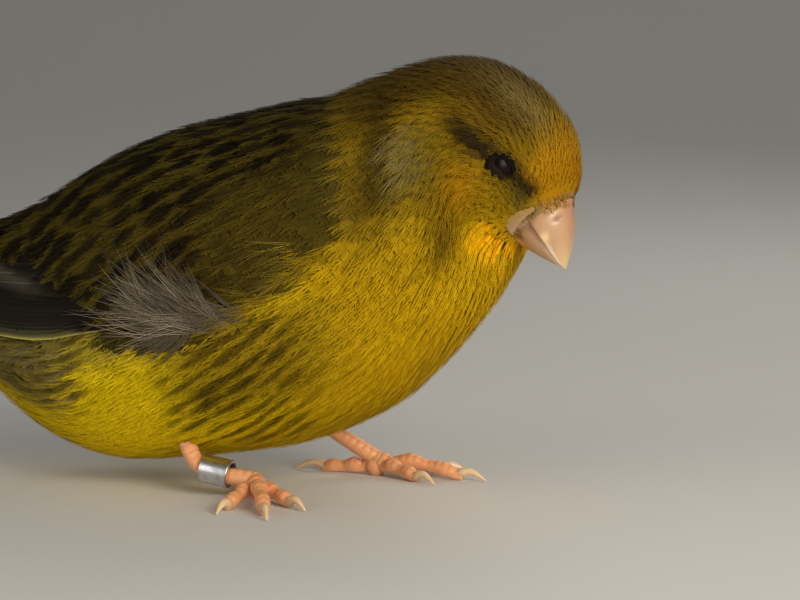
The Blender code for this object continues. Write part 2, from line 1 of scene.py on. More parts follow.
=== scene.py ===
"""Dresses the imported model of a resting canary: skin, feathers, eyes, bill, legs, ring and a plain studio.

All shapes are worked out in millimetres in the bird's own frame (it faces +X, its left is +Y, the floor is
z = 0) and are moved by ORIGIN and scaled to metres where a mesh is made.
"""

import math

import bpy
import numpy as np
from mathutils import Matrix, Vector


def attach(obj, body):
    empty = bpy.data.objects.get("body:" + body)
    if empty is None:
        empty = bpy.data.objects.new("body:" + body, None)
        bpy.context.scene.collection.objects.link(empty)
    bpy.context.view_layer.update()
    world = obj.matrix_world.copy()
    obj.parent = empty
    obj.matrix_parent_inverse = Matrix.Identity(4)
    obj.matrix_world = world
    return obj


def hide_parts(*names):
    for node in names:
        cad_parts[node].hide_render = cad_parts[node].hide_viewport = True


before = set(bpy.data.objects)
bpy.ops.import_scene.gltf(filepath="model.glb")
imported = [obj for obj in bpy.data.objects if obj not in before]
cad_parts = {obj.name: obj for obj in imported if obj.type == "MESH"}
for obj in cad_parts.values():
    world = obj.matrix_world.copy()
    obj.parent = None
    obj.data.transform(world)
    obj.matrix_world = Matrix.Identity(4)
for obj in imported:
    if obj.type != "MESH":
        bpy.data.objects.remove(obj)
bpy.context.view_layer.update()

bl_info = {
    "name": "Resting canary",
    "version": (1, 0, 0),
    "blender": (4, 5, 0),
    "location": "3D View > Sidebar > Canary",
    "description": "Builds the feathers, skin, eyes, bill and legs of a small songbird over its solid model",
    "category": "Add Mesh",
}

MM = 0.001
TURN = 2 * math.pi
ORIGIN = np.array([-20.13, -2.645, 0.0])
SIDES = {"left": 1.0, "right": -1.0}

# The bird's own sizes, the same as in the solids

# Stations of the body from tail to bill: top edge x and z, bottom edge x and z, half of the width.
BODY_ROWS = np.array(
    (
        (-44.5, 25.8, -44.5, 17.4, 5.2),
        (-38.5, 28.6, -38.5, 14.0, 8.4),
        (-32.0, 32.6, -32.0, 9.5, 12.2),
        (-25.0, 37.8, -25.0, 4.8, 16.2),
        (-17.0, 42.9, -17.0, 2.5, 19.0),
        (-8.0, 46.3, -8.0, 2.9, 20.8),
        (0.0, 48.0, 0.0, 3.9, 21.4),
        (6.4, 49.4, 8.8, 5.5, 21.0),
        (11.8, 50.4, 19.0, 9.8, 19.8),
        (16.2, 52.2, 26.2, 16.0, 17.4),
        (21.6, 53.8, 31.4, 22.4, 15.2),
        (27.4, 54.7, 34.0, 26.8, 13.8),
        (33.2, 54.0, 35.4, 29.6, 12.8),
        (38.4, 51.0, 36.1, 31.0, 11.5),
        (41.8, 46.8, 36.4, 31.7, 9.7),
        (43.6, 42.0, 36.5, 32.0, 7.3),
        (43.6, 37.7, 36.8, 32.3, 4.9),
    )
)
BILL_ROOT, FULLNESS = 16.0, 2.12
HEAD_TURN = math.radians(12.0)
TURN_FROM, TURN_TO, TURN_PIVOT_X = 8.6, 12.6, 20.0
EYE_STATION, EYE_UP = 13.55, 7.0
# Swellings of the head: station, degrees up from the flank, reach and height. The first is the eye's.
HEAD_FORMS = (
    (EYE_STATION, EYE_UP, 3.2, -0.8),
    (EYE_STATION + 0.35, 42.0, 3.4, 0.5),
    (11.6, -14.0, 5.0, 0.8),
    (13.6, -44.0, 3.0, 0.5),
    (15.2, 2.0, 2.2, -0.35),
)
EYE_RADIUS, EYE_SUNK = 2.15, 1.25
RIDGE_BASE, BILL_TIP, CHIN_BASE = (43.5, 36.6), (42.9, 28.7), (36.6, 31.9)
BILL_LENGTH, BILL_HALF_WIDTH, BILL_LOWER_SHORT, BILL_GAP = 8.0, 3.9, 0.8, 0.32
# Edges of the folded wing: x, and degrees up from the flank of the lower and the upper edge.
WING_EDGES = (
    (16.5, 8.0, 36.0),
    (12.0, -8.0, 48.0),
    (4.0, -17.0, 55.0),
    (-6.0, -14.0, 58.0),
    (-16.0, -10.0, 60.0),
    (-26.0, -12.0, 61.0),
    (-36.0, -22.0, 62.0),
    (-48.0, -28.0, 60.0),
    (-58.0, -26.0, 44.0),
    (-66.0, -12.0, 24.0),
)
# The free part of the wing lies on half ellipses: x, middle z, half height, half width.
WING_SHEATH = (
    (-18.0, 22.4, 18.6, 18.0),
    (-28.0, 22.3, 13.2, 14.6),
    (-38.0, 22.8, 8.4, 9.3),
    (-48.0, 23.2, 6.0, 6.6),
    (-58.0, 23.4, 4.8, 4.8),
    (-66.0, 23.4, 4.0, 3.5),
)
SHEATH_FROM, SHEATH_TO = -18.0, -34.0
WING_RECESS, WING_CLEAR = 2.0, 0.42
TAIL_ROOT, TAIL_DROP = (-44.82, 22.0), math.radians(11.0)
TAIL_LENGTH, TAIL_FORK, TAIL_PAIRS, TAIL_HALF_WIDTH = 40.0, 4.5, 6, 7.4
# Legs: three points from the body to the foot, and degrees from +X of the foot and of its hind toe.
RIGHT_LEG = ((-6.5, -9.0, 9.0), (-2.6, -11.5, 3.55), (4.8, -12.0, 2.2))
LEFT_LEG = ((1.0, 7.6, 12.0), (7.0, 8.4, 7.0), (14.4, 9.4, 2.2))
LEGS = {
    "right": {"line": RIGHT_LEG, "heading": -68.0, "hind": 127.0},
    "left": {"line": LEFT_LEG, "heading": -6.0, "hind": 172.0},
}
TARSUS_RADII = (1.15, 0.98, 1.1)
# Toes: degrees from the foot's heading (None for the hind toe), length, claw, thickness, arch.
TOES = (
    (28.0, 8.4, 4.4, 0.98, 0.7),
    (2.0, 12.4, 4.8, 1.04, 1.2),
    (-25.0, 9.2, 4.4, 0.96, 0.8),
    (None, 8.0, 5.4, 1.0, 0.3),
)
RING_BORE, RING_WALL, RING_LENGTH, RING_ROUND, RING_FROM_FOOT = 1.42, 0.36, 3.8, 0.12, 5.3

# The large feathers of a folded wing, row by row from below: first and last feather's root x, root v, tip x,
# tip v, width, height at the root and rise to the tip; then each one's pale edge and how grey that edge is.
WING_ROWS = (
    (
        ((-10, -12), (-0.03, 0.1), (-64, -45), (0.23, 0.6), (5.2, 5.2), (0.05, 1.05), (0.0, 0.3)),
        (1.0, 0.4, 0.3, 0.2, 0.1, 0.05, 0.05, 0.05),
        (0.0, 0.6, 0.8, 1.0, 1.0, 1.0, 1.0, 1.0),
    ),
    (
        ((-10, -10), (0.14, 0.38), (-43.5, -38), (0.48, 0.72), (7.6, 7.6), (1.0, 1.3), (0.25, 0.3)),
        (0.1,) * 6,
        (0.0,) * 6,
    ),
    (
        ((-10, -8), (0.36, 0.62), (-42, -30), (0.72, 0.92), (10, 10), (0.8, 0.8), (0.3, 0.32)),
        (0.4, 0.12, 0.12),
        (1.0,) * 3,
    ),
)
# Fine hairs: label, count, stations, degrees up, colour, length, slant.
HAIRS = (
    ("ear", 70, (9.9, 11.2), (0.0, 26.0), (152, 138, 88), 4.2, 0.05),
    ("crown", 50, (11.6, 14.2), (44.0, 84.0), (150, 130, 76), 3.0, 0.0),
    ("vent", 40, (1.6, 4.2), (-34.0, -10.0), (142, 128, 84), 6.5, 0.1),
)
# Lights: place, aim, size, power, colour.
LIGHTS = {
    "key": ((0.36, -0.30, 0.17), (0.01, 0.0, 0.025), 0.26, 2.1, (1.0, 0.95, 0.84)),
    "fill": ((-0.30, -0.42, 0.16), (0.0, 0.0, 0.028), 0.4, 0.8, (1.0, 0.96, 0.90)),
    "back": ((0.10, 0.40, 0.34), (0.0, 0.0, 0.03), 0.3, 0.5, (1.0, 0.97, 0.92)),
}
SKY, SKY_POWER = (0.92, 0.92, 0.90, 1.0), 0.22
# The camera's place and turn, its focal length and width in the photo's pixels, and the level's height there.
CAMERA_AT, CAMERA_YAW = (83.52, -236.44, 42.0), math.radians(15.0)
FOCAL, IMAGE_WIDTH, SENSOR, LEVEL_ABOVE_MIDDLE = 1925.0, 800.0, 36.0, 140.0
# The mark of a shaft's points, a feather's patch in the bake map, and the most triangles of a piece.
SHAFT_TONE, BAKE_PATCH, PIECE_TRIANGLES = 5.0, 0.003, 180000
# The root of x^3 = x + 1, for scattering evenly in two ways.
GOLDEN = 1.32471795724474602596


# Curves and forms


def smooth(low, high, value):
    """0 below low, 1 above high and an S between; low may be the larger one."""
    share = np.clip((np.asarray(value, float) - low) / (high - low), 0.0, 1.0)
    return share * share * (3.0 - 2.0 * share)


def bump(middle, reach, value):
    """A bell: 1 at the middle, falling off over reach."""
    return np.exp(-(((np.asarray(value, float) - middle) / reach) ** 2))


def mixed(first, second, share):
    """First turned into second by share, with share spread over the last axis."""
    share = np.asarray(share, float)[..., None]
    return np.asarray(first, float) * (1.0 - share) + np.asarray(second, float) * share


def unit(vectors):
    """Vectors at length one."""
    return vectors / np.maximum(np.linalg.norm(vectors, axis=-1, keepdims=True), 1e-12)


def spline(rows, place):
    """A Catmull-Rom curve through the rows, read at fractional row numbers."""
    rows = np.asarray(rows, float)
    last = len(rows) - 1
    place = np.clip(np.asarray(place, float), 0.0, last)
    at = np.minimum(place.astype(int), last - 1)
    part = (place - at)[..., None]
    padded = np.vstack([2 * rows[0] - rows[1], rows, 2 * rows[-1] - rows[-2]])
    a, b, c, d = (padded[at + step] for step in range(4))
    bend = (2 * a - 5 * b + 4 * c - d) * part**2 + (3 * b - a - 3 * c + d) * part**3
    return b + 0.5 * ((c - a) * part + bend)


def by_x(rows, x):
    """The same curve read by the rows' first value, which falls from row to row."""
    rows = np.asarray(rows, float)
    place = np.interp(-np.asarray(x, float), -rows[:, 0], np.arange(len(rows)))
    return spline(rows[:, 1:], place)


def station_at(x):
    """The body's station number whose middle lies at x."""
    places = np.linspace(0.0, 12.0, 241)
    rows = spline(BODY_ROWS, places)
    return np.interp(x, (rows[:, 0] + rows[:, 2]) / 2, places)


def side_angle(up, side):
    """The angle round the body of a place that many degrees up from one flank."""
    return np.radians(up) if side > 0 else math.pi - np.radians(up)


def up_from_side(angle):
    """Degrees up from the nearer flank of an angle round the body."""
    return np.degrees(np.arctan2(np.sin(angle), np.abs(np.cos(angle))))


def side_of(angle):
    """+1 on the left flank and -1 on the right."""
    return np.where(np.cos(angle) >= 0, 1.0, -1.0)


def plain_body(place, angle):
    """Superellipse rings on two rails: middle + rise * sin^(2/n) + half * cos^(2/n); points and spokes."""
    top_x, top_z, low_x, low_z, half = np.moveaxis(spline(BODY_ROWS, place), -1, 0)
    power = 2.0 / FULLNESS
    across = np.sign(np.cos(angle)) * np.abs(np.cos(angle)) ** power
    upward = np.sign(np.sin(angle)) * np.abs(np.sin(angle)) ** power
    rise_x, rise_z = (top_x - low_x) / 2, (top_z - low_z) / 2
    middle = np.stack([(top_x + low_x) / 2, 0 * half, (top_z + low_z) / 2], -1)
    spoke = np.stack([rise_x * upward, half * across, rise_z * upward], -1)
    return middle + spoke, unit(spoke)


def turned(points, place):
    """Twists the neck and turns the head about an upright axis."""
    turn = -HEAD_TURN * smooth(TURN_FROM, TURN_TO, place)
    x, y = points[..., 0] - TURN_PIVOT_X, points[..., 1]
    turned_x = x * np.cos(turn) - y * np.sin(turn) + TURN_PIVOT_X
    return np.stack([turned_x, x * np.sin(turn) + y * np.cos(turn), points[..., 2]], -1)


def recess(points, angle):
    """How much of the wing's bed is sunk here, from 0 to 1."""
    here, behind = (by_x(WING_EDGES, points[..., 0] - back) for back in (0.0, 3.5))
    low, high = np.minimum(here, behind)[..., 0], np.maximum(here, behind)[..., 1]
    up = up_from_side(angle)
    along = smooth(19.5, 16.6, points[..., 0]) * smooth(-38.0, -28.0, points[..., 0])
    return along * smooth(low - 14.0, low - 5.0, up) * smooth(high + 14.0, high + 5.0, up)


def body(place, angle, sunk=None, eye=-0.8):
    """The bird's outer form; sunk is the x below which the wing's bed is let in, or None for nowhere.

    Before station 0 the last ring runs on towards the tail and draws in by a sixth a station; past the bill's
    root the rings close on its tip by a fifth a station. eye is the height of the form round the eyes.
    """
    place, angle = np.broadcast_arrays(np.asarray(place, float), np.asarray(angle, float))
    inside = np.clip(place, 0.0, BILL_ROOT)
    points, out = plain_body(inside, angle)
    shift = np.zeros(place.shape)
    if sunk is not None:
        shift = shift - WING_RECESS * recess(points, angle) * smooth(sunk, sunk - 7.0, points[..., 0])
    for station, up, reach, height in ((*HEAD_FORMS[0][:3], eye), *HEAD_FORMS[1:]):
        for side in SIDES.values():
            centre, _ = plain_body(np.array(station), np.array(side_angle(up, side)))
            shift = shift + height * bump(0.0, reach, np.linalg.norm(points - centre, axis=-1))
    points = turned(points + out * shift[..., None], inside)
    past = np.clip(-place, 0.0, 4.0)[..., None]
    root = np.array([-44.5, 0.0, 21.8])
    points = points + (root - points) * (0.17 * past) + np.array([-5.9, 0.0, -0.9]) * past
    ahead = np.clip(place - BILL_ROOT, 0.0, 3.0)[..., None]
    return points + (head_point(*BILL_TIP) - points) * (0.2 * ahead)


def coat_base(place, angle):
    """The surface that the coat is measured from: the body, let in under the hinder part of the wings."""
    return body(place, angle, sunk=-8.0, eye=-0.1)


def skin_base(place, angle):
    """The body with the whole of the wings' beds let in."""
    return body(place, angle, sunk=30.0)


def surface_frame(form, u, v, orient=1.0, step=1e-3):
    """Point, outward normal and the two derivatives of a surface by small differences."""
    along = (form(u + step, v) - form(u - step, v)) / (2 * step)
    across = (form(u, v + step) - form(u, v - step)) / (2 * step)
    out = unit(np.cross(across, along)) * np.asarray(orient)[..., None]
    return form(u, v), out, along, across


def wing_sheet(side):
    """The surface of one folded wing in (x, v), v from its lower to its upper edge."""

    def sheet(x, v):
        x, v = np.broadcast_arrays(np.asarray(x, float), np.asarray(v, float))
        low, high = np.moveaxis(by_x(WING_EDGES, x), -1, 0)
        up = np.radians(low + (high - low) * v)
        points, out = plain_body(station_at(x), up if side > 0 else math.pi - up)
        middle, tall, wide = np.moveaxis(by_x(WING_SHEATH, x), -1, 0)
        free = np.stack([x, side * wide * np.cos(up), middle + tall * np.sin(up)], -1)
        points = mixed(points - out * WING_RECESS, free, smooth(SHEATH_FROM, SHEATH_TO, x))
        away = unit(np.stack([0 * x, side * np.cos(up) / wide, np.sin(up) / tall], -1))
        return points + away * WING_CLEAR

    return sheet


def tail_sheet(run, across):
    """The tail's middle sheet: minus the distance from its root, and to the left, gently arched."""
    run, across = np.broadcast_arrays(np.asarray(run, float), np.asarray(across, float))
    arch = -0.018 * across**2
    x = TAIL_ROOT[0] + run * math.cos(TAIL_DROP) - arch * math.sin(TAIL_DROP)
    z = TAIL_ROOT[1] + run * math.sin(TAIL_DROP) + arch * math.cos(TAIL_DROP)
    return np.stack([x, across, z], -1)


def eye_frame(side):
    """The middle of an eye and its outward direction."""
    point, out, _, _ = surface_frame(body, np.array(EYE_STATION), np.array(side_angle(EYE_UP, side)))
    return point - out * EYE_SUNK, out


def eye_axes(side):
    """The long and the short axis of an eye's opening, the long one slanting forward and down."""
    _, out = eye_frame(side)
    ahead = unit(np.array([1.0, 0.0, 0.0]) - out * out[0])
    above = np.cross(ahead, out) * side
    above = above * np.sign(above[2])
    return unit(ahead * 0.72 - above * 0.70), unit(ahead * 0.70 + above * 0.72)


def head_point(x, z, side_out=0.0):
    """A place in the turned head: x and z in its own middle plane, and a distance out to the left."""
    x, z, side_out = np.broadcast_arrays(*(np.asarray(a, float) for a in (x, z, side_out)))
    return turned(np.stack([x, side_out, z], -1), np.full(x.shape, BILL_ROOT))


# Meshes


def make_piece(name, points, faces, finish, slot="plumage", uvs=None, tint=None, nodes=(), lean=None):
    """A mesh piece from points in millimetres and a list of face arrays; uvs, tint and lean are per point.

    lean is the outward direction of the form beneath, which soft feathers take most of their shading from.
    """
    points = (np.asarray(points, float).reshape(-1, 3) - ORIGIN) * MM
    faces = [np.asarray(group, np.int32) for group in faces if len(group)]
    if lean is not None:
        faces = [facing(points, group, lean) for group in faces]
    corners = np.concatenate([group.ravel() for group in faces])
    sizes = np.concatenate([np.full(len(group), group.shape[1], np.int32) for group in faces])
    mesh = bpy.data.meshes.new(name)
    mesh.vertices.add(len(points))
    mesh.vertices.foreach_set("co", points.astype(np.float32).ravel())
    mesh.loops.add(len(corners))
    mesh.loops.foreach_set("vertex_index", corners)
    mesh.polygons.add(len(sizes))
    mesh.polygons.foreach_set("loop_start", np.concatenate([[0], np.cumsum(sizes)[:-1]]).astype(np.int32))
    mesh.update(calc_edges=True)
    mesh.polygons.foreach_set("use_smooth", np.ones(len(sizes), bool))
    for label, values in (uvs or {}).items():
        layer = mesh.uv_layers.new(name=label)
        layer.data.foreach_set("uv", np.asarray(values, np.float32).reshape(-1, 2)[corners].ravel())
    if tint is not None:
        tint = np.asarray(tint, np.float32).reshape(len(points), 3)
        colours = mesh.color_attributes.new(name="tint", type="FLOAT_COLOR", domain="POINT")
        colours.data.foreach_set("color", np.hstack([tint, np.ones((len(points), 1), np.float32)]).ravel())
    mesh.materials.append(finish)
    mesh.update()
    if lean is not None:
        own = np.empty(len(points) * 3, np.float32)
        mesh.vertex_normals.foreach_get("vector", own)
        soft = unit(0.25 * own.reshape(-1, 3) + 0.75 * lean)
        mesh.normals_split_custom_set_from_vertices(soft.astype(np.float32))
    piece = bpy.data.objects.new(name, mesh)
    bpy.context.scene.collection.objects.link(piece)
    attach(piece, "root")
    if nodes:
        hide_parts(*nodes)
    return piece


def facing(points, faces, lean):
    """The faces with those turned over whose front looks against lean."""
    a, b, c = (points[faces[:, i]] for i in range(3))
    inward = (np.cross(b - a, c - a) * lean[faces].sum(1)).sum(-1) < 0
    faces[inward] = faces[inward, ::-1]
    return faces


def grid_faces(rows, columns, closed=True):
    """Quads of a grid of points; closed joins the last column to the first."""
    i = np.arange(rows - 1)[:, None]
    j = np.arange(columns if closed else columns - 1)[None, :]
    k = (j + 1) % columns
    quads = np.stack([i * columns + j, i * columns + k, (i + 1) * columns + k, (i + 1) * columns + j], -1)
    return quads.reshape(-1, 4)


def halved(quads):
    """Each quad as two triangles, all the first ones before the second ones."""
    return np.vstack([quads[:, [0, 1, 2]], quads[:, [0, 2, 3]]])


def tube_part(rings, tint, caps=None):
    """Points, faces and tint of a tube through rings, its ends closed by fans on their middles.

    caps gives the tint of both middles, which is otherwise that of the end's first point.
    """
    count, around = rings.shape[:2]
    points = np.vstack([rings.reshape(-1, 3), rings[0].mean(0)[None], rings[-1].mean(0)[None]])
    j = np.arange(around)
    k = (j + 1) % around
    first, last = count * around, count * around + 1
    front = np.stack([np.full(around, first), k, j], -1)
    rear = np.stack([np.full(around, last), (count - 1) * around + j, (count - 1) * around + k], -1)
    tint = np.broadcast_to(tint, rings.shape)
    ends = (tint[0, 0], tint[-1, 0]) if caps is None else (caps, caps)
    return points, [grid_faces(count, around), front, rear], np.vstack([tint.reshape(-1, 3), ends])


def joined(parts):
    """Several (points, faces, value arrays...) put together into one."""
    points, faces, others = [], {}, [[] for _ in parts[0][2:]]
    base = 0
    for part in parts:
        points.append(part[0])
        for group in part[1]:
            faces.setdefault(group.shape[1], []).append(group + base)
        for store, value in zip(others, part[2:]):
            store.append(value)
        base += len(part[0])
    return np.vstack(points), [np.vstack(group) for group in faces.values()], *map(np.concatenate, others)


# Shader maths


class Wire:
    """One socket of a material, with the signs that make its maths."""

    def __init__(self, paint, socket):
        self.paint, self.socket = paint, socket

    def maths(self, operation, *others):
        """A maths node on this value and others."""
        return self.paint.node("ShaderNodeMath", {"operation": operation}, dict(enumerate((self, *others))))

    def __add__(self, other):
        return self.maths("ADD", other)

    def __sub__(self, other):
        return self.maths("SUBTRACT", other)

    def __mul__(self, other):
        return self.maths("MULTIPLY", other)

    def __rsub__(self, other):
        return self * -1.0 + other

    __radd__, __rmul__ = __add__, __mul__

    def size(self):
        """The value without its sign."""
        return self.maths("ABSOLUTE")

    def wave(self):
        """The sine, from 0 to 1."""
        return self.maths("SINE") * 0.5 + 0.5

    def between(self, low, high):
        """0 at low, 1 at high, and an S between."""
        sockets = {0: self, 1: low, 2: high, 3: 0.0, 4: 1.0}
        return self.paint.node("ShaderNodeMapRange", {"interpolation_type": "SMOOTHSTEP"}, sockets)


class Paint:
    """A material with a Principled shader, whose nodes are made by one method."""

    def __init__(self, name, **constants):
        self.material = bpy.data.materials.new(name)
        self.material.use_nodes = True
        self.tree = self.material.node_tree
        self.shader = self.tree.nodes["Principled BSDF"]
        for label, value in constants.items():
            self.shader.inputs[label.replace("_", " ")].default_value = value

    def node(self, kind, settings=None, sockets=None, output=0):
        """A node of that type, its settings made first, then its sockets' values or links."""
        made = self.tree.nodes.new(kind)
        for key, value in (settings or {}).items():
            setattr(made, key, value)
        for key, value in (sockets or {}).items():
            if isinstance(value, Wire):
                self.tree.links.new(value.socket, made.inputs[key])
            else:
                made.inputs[key].default_value = value
        return Wire(self, made.outputs[output])

    def put(self, label, wire):
        """Links a value to one of the shader's sockets."""
        self.tree.links.new(wire.socket, self.shader.inputs[label])

    def tint(self):
        """The colour painted on the piece's points."""
        return self.node("ShaderNodeAttribute", {"attribute_name": "tint"}, output="Color")

    def parts(self, vector):
        """The three numbers of a vector."""
        split = self.node("ShaderNodeSeparateXYZ", sockets={0: vector})
        return [Wire(self, split.socket.node.outputs[i]) for i in range(3)]

    def noise(self, scale, detail=2.0, rough=0.5, stretch=None):
        """Noise over the object's space, which may be stretched."""
        at = self.node("ShaderNodeTexCoord", output="Object")
        if stretch:
            at = self.node("ShaderNodeMapping", sockets={0: at, "Scale": stretch})
        sockets = {"Vector": at, "Scale": scale, "Detail": detail, "Roughness": rough}
        return self.node("ShaderNodeTexNoise", sockets=sockets)

    def blend(self, first, second, share, mode="MIX"):
        """Two colours mixed by a share."""
        first, second = (value if isinstance(value, Wire) else (*value, 1.0) for value in (first, second))
        settings = {"data_type": "RGBA", "blend_type": mode}
        return self.node("ShaderNodeMix", settings, {0: share, 6: first, 7: second}, output=2)

    def shade(self, colour, amount):
        """A colour made lighter or darker by a number."""
        grey = self.node("ShaderNodeCombineColor", sockets={0: amount, 1: amount, 2: amount})
        return self.blend(colour, grey, 1.0, "MULTIPLY")

    def rise(self, height, distance, strength=1.0):
        """Bump from a height, in metres, to the shader's normal."""
        sockets = {"Height": height, "Distance": distance, "Strength": strength}
        self.put("Normal", self.node("ShaderNodeBump", sockets=sockets))


def linear(red, green, blue):
    """A colour given as it is seen, 0 to 255, as linear light."""
    seen = np.array([red, green, blue], float) / 255.0
    return np.where(seen <= 0.04045, seen / 12.92, ((seen + 0.055) / 1.055) ** 2.4)


def feather_finish(name, rough=0.75, period=190.0, depth=0.00003, gloss=0.06, mottle=0.16):
    """Feather: the painted tint, fine barb lines that sweep off the shaft, and a soft mottling."""
    if name in bpy.data.materials:
        return bpy.data.materials[name]
    paint = Paint(name, Roughness=rough, Specular_IOR_Level=gloss)
    run, off, _ = paint.parts(paint.node("ShaderNodeUVMap", {"uv_map": "vane"}))
    sweep = run - (off - 0.5).size() * 1.3
    barbs = (sweep * (period * TURN) + paint.noise(900.0, 1.0) * 5.0).wave()
    amount = barbs * 0.20 + paint.noise(340.0, 3.0, 0.6) * (mottle * 2) + (0.90 - mottle)
    paint.put("Base Color", paint.shade(paint.tint(), amount))
    paint.rise(barbs, depth, 0.6)
    return paint.material


def skin_finish():
    """The skin under the coat: the coat's own tint, darker and downy."""
    paint = Paint("skin_down", Roughness=0.9, Sheen_Weight=0.2, Specular_IOR_Level=0.15)
    down = paint.noise(1500.0, 4.0, 0.65)
    paint.put("Base Color", paint.shade(paint.tint(), down * 0.7 + 0.35))
    paint.rise(down, 0.0003, 0.8)
    return paint.material


def grained(name, scale, detail, rough, shades, bump_depth=None, strength=1.0, stretch=None, **constants):
    """A finish of the painted tint with grain: shades are its least and its range of lightness."""
    paint = Paint(name, **constants)
    grain = paint.noise(scale, detail, rough, stretch)
    paint.put("Base Color", paint.shade(paint.tint(), grain * shades[1] + shades[0]))
    if bump_depth:
        paint.rise(grain, bump_depth, strength)
    return paint.material


# Settings


def length_setting(label, text, value):
    """A length in millimetres, kept in metres."""
    more = {"default": value * MM, "unit": "LENGTH", "precision": 5}
    return bpy.props.FloatProperty(name=label, description=text, **more)


def colour_setting(label, text, seen):
    """A colour given as it is seen."""
    default = tuple(float(c) for c in linear(*seen))
    ranges = {"min": 0.0, "max": 1.0, "size": 3, "subtype": "COLOR"}
    return bpy.props.FloatVectorProperty(name=label, description=text, default=default, **ranges)


class CanaryCoat(bpy.types.PropertyGroup):
    """Sizes and colours of the body's coat."""

    depth: length_setting("Depth", "How far the feathers' roots lie under the outline", 1.15)
    body_length: length_setting("Body feather", "Length of a feather of the belly and breast", 7.4)
    head_length: length_setting("Head feather", "Length of a feather of the crown", 3.4)
    face_length: length_setting("Face feather", "Length of a feather at the root of the bill", 2.2)
    body_spacing: length_setting("Body spacing", "Distance between body feathers", 1.3)
    head_spacing: length_setting("Head spacing", "Distance between head feathers", 0.66)
    back_spacing: length_setting("Back spacing", "Distance between the feathers under the streaked ones", 1.6)
    belly: colour_setting("Belly", "Yellow of the belly", (214, 184, 12))
    breast: colour_setting("Breast", "Gold of the breast", (172, 136, 6))
    throat: colour_setting("Throat", "Orange gold of the throat and forehead", (216, 160, 8))
    cheek: colour_setting("Cheek", "Olive gold of the cheek", (136, 106, 8))
    crown: colour_setting("Crown", "Olive brown of the crown and nape", (86, 64, 8))
    # The back's olive is set darker than its own colour: part of it is painted shade for the shadow over the
    # back.
    back: colour_setting("Back", "Olive ground of the back", (63, 54, 10))
    rump: colour_setting("Rump", "Olive yellow of the rump", (80, 68, 14))
    streak: colour_setting("Streak", "Dark brown of the streaks", (24, 16, 8))
    down: colour_setting("Down", "Grey of the feathers' hidden roots", (96, 90, 74))


class CanaryFlight(bpy.types.PropertyGroup):
    """Sizes and colours of the wings, the tail and the loose plumes."""

    web: colour_setting("Web", "Brown black of the flight feathers", (18, 13, 9))
    edge: colour_setting("Edge", "Pale yellow edges of the flight feathers", (184, 172, 90))
    shaft: colour_setting("Shaft", "Shafts of the flight feathers", (34, 24, 14))
    plume: colour_setting("Plume", "Silver grey of the loose flank plumes", (148, 137, 115))
    plume_length: length_setting("Plume", "Length of a loose flank plume", 16.0)


class CanaryFace(bpy.types.PropertyGroup):
    """Colours of the eyes and the bill."""

    eye: colour_setting("Eye", "Brown black of the eyes", (24, 11, 4))
    lid: colour_setting("Lid", "Brown of the lids", (34, 25, 12))
    horn: colour_setting("Bill", "Pink of the bill", (190, 148, 110))
    horn_tip: colour_setting("Bill tip", "Pale horn of the tip", (214, 180, 132))


class CanaryLegs(bpy.types.PropertyGroup):
    """Colours of the legs, the claws and the ring."""

    skin: colour_setting("Skin", "Pink of the legs and toes", (226, 158, 108))
    claw: colour_setting("Claw", "Pale horn of the claws", (224, 190, 150))
    metal: colour_setting("Ring", "Metal of the leg ring", (206, 206, 212))


class CanaryStudio(bpy.types.PropertyGroup):
    """The floor and the lights."""

    floor: colour_setting("Floor", "Plain floor and backdrop", (214, 212, 208))
    key: bpy.props.FloatProperty(name="Key", description="Strength of the key light", default=1.0, min=0.0)
    fill: bpy.props.FloatProperty(name="Fill", description="Strength of the fill light", default=1.0, min=0.0)


# Feathers


class Feathers:
    """Many feathers as arrays of their roots u and v, their side (+1 left), and the values that shape them.

    These are length and width; slant and bend, by which they turn down from straight back; low, rise and
    arch, their height from root to tip; crown, how far their edges drop; and how they are coloured.
    """

    def __init__(self, u, v, side, **values):
        plain = {"bend": 0.0, "arch": 1.0, "streak": 0.0, "streak_width": 0.3, "edge": 0.0, "shade": 0.0}
        values = {**plain, "streak_colour": 0.0, "edge_colour": 0.0, "u": u, "v": v, "side": side, **values}
        for key, value in values.items():
            wide = np.shape(u) + ((3,) if key.endswith("colour") else ())
            setattr(self, key, np.broadcast_to(np.asarray(value, float), wide))

    def kept(self, which):
        """The feathers that which names."""
        return Feathers(**{key: value[which] for key, value in vars(self).items()})


def lie_nets(form, feathers, orient=1.0, stations=5):
    """Follows each feather's lie over a surface.

    From its root a feather steps back along the surface, turned down by slant (plus bend along its length),
    by solving the step in the surface's two parameters. Each station of the net holds three points across
    and their outward normals: the upper edge's twice and then the lower edge's, so that the upper half of
    a feather is folded on its upper edge.
    """
    nets, outs = (np.empty((len(feathers.u), stations, 3, 3)) for _ in range(2))
    u, v, half = feathers.u, feathers.v, feathers.width / 2
    step = feathers.length / (stations - 1)
    for k in range(stations):
        _, out, along, across = surface_frame(form, u, v, orient)
        back = unit(out * (along * out).sum(-1, keepdims=True) - along)
        down = np.cross(back, out) * feathers.side[:, None]
        slant = (feathers.slant + feathers.bend * k / (stations - 1))[:, None]
        lie, lower = back * np.cos(slant) + down * np.sin(slant), down * np.cos(slant) - back * np.sin(slant)
        e, f, g = (along * along).sum(-1), (along * across).sum(-1), (across * across).sum(-1)
        det = np.maximum(e * g - f * f, 1e-9)

        def solved(direction):
            a, b = (direction * along).sum(-1), (direction * across).sum(-1)
            return (g * a - f * b) / det, (e * b - f * a) / det

        du, dv = solved(lower)
        edges = [surface_frame(form, u + du * half * s, v + dv * half * s, orient)[:2] for s in (-1.0, 1.0)]
        for j, edge in enumerate((0, 0, 1)):
            nets[:, k, j], outs[:, k, j] = edges[edge]
        du, dv = solved(lie)
        u, v = u + du * step, v + dv * step
    return nets, outs


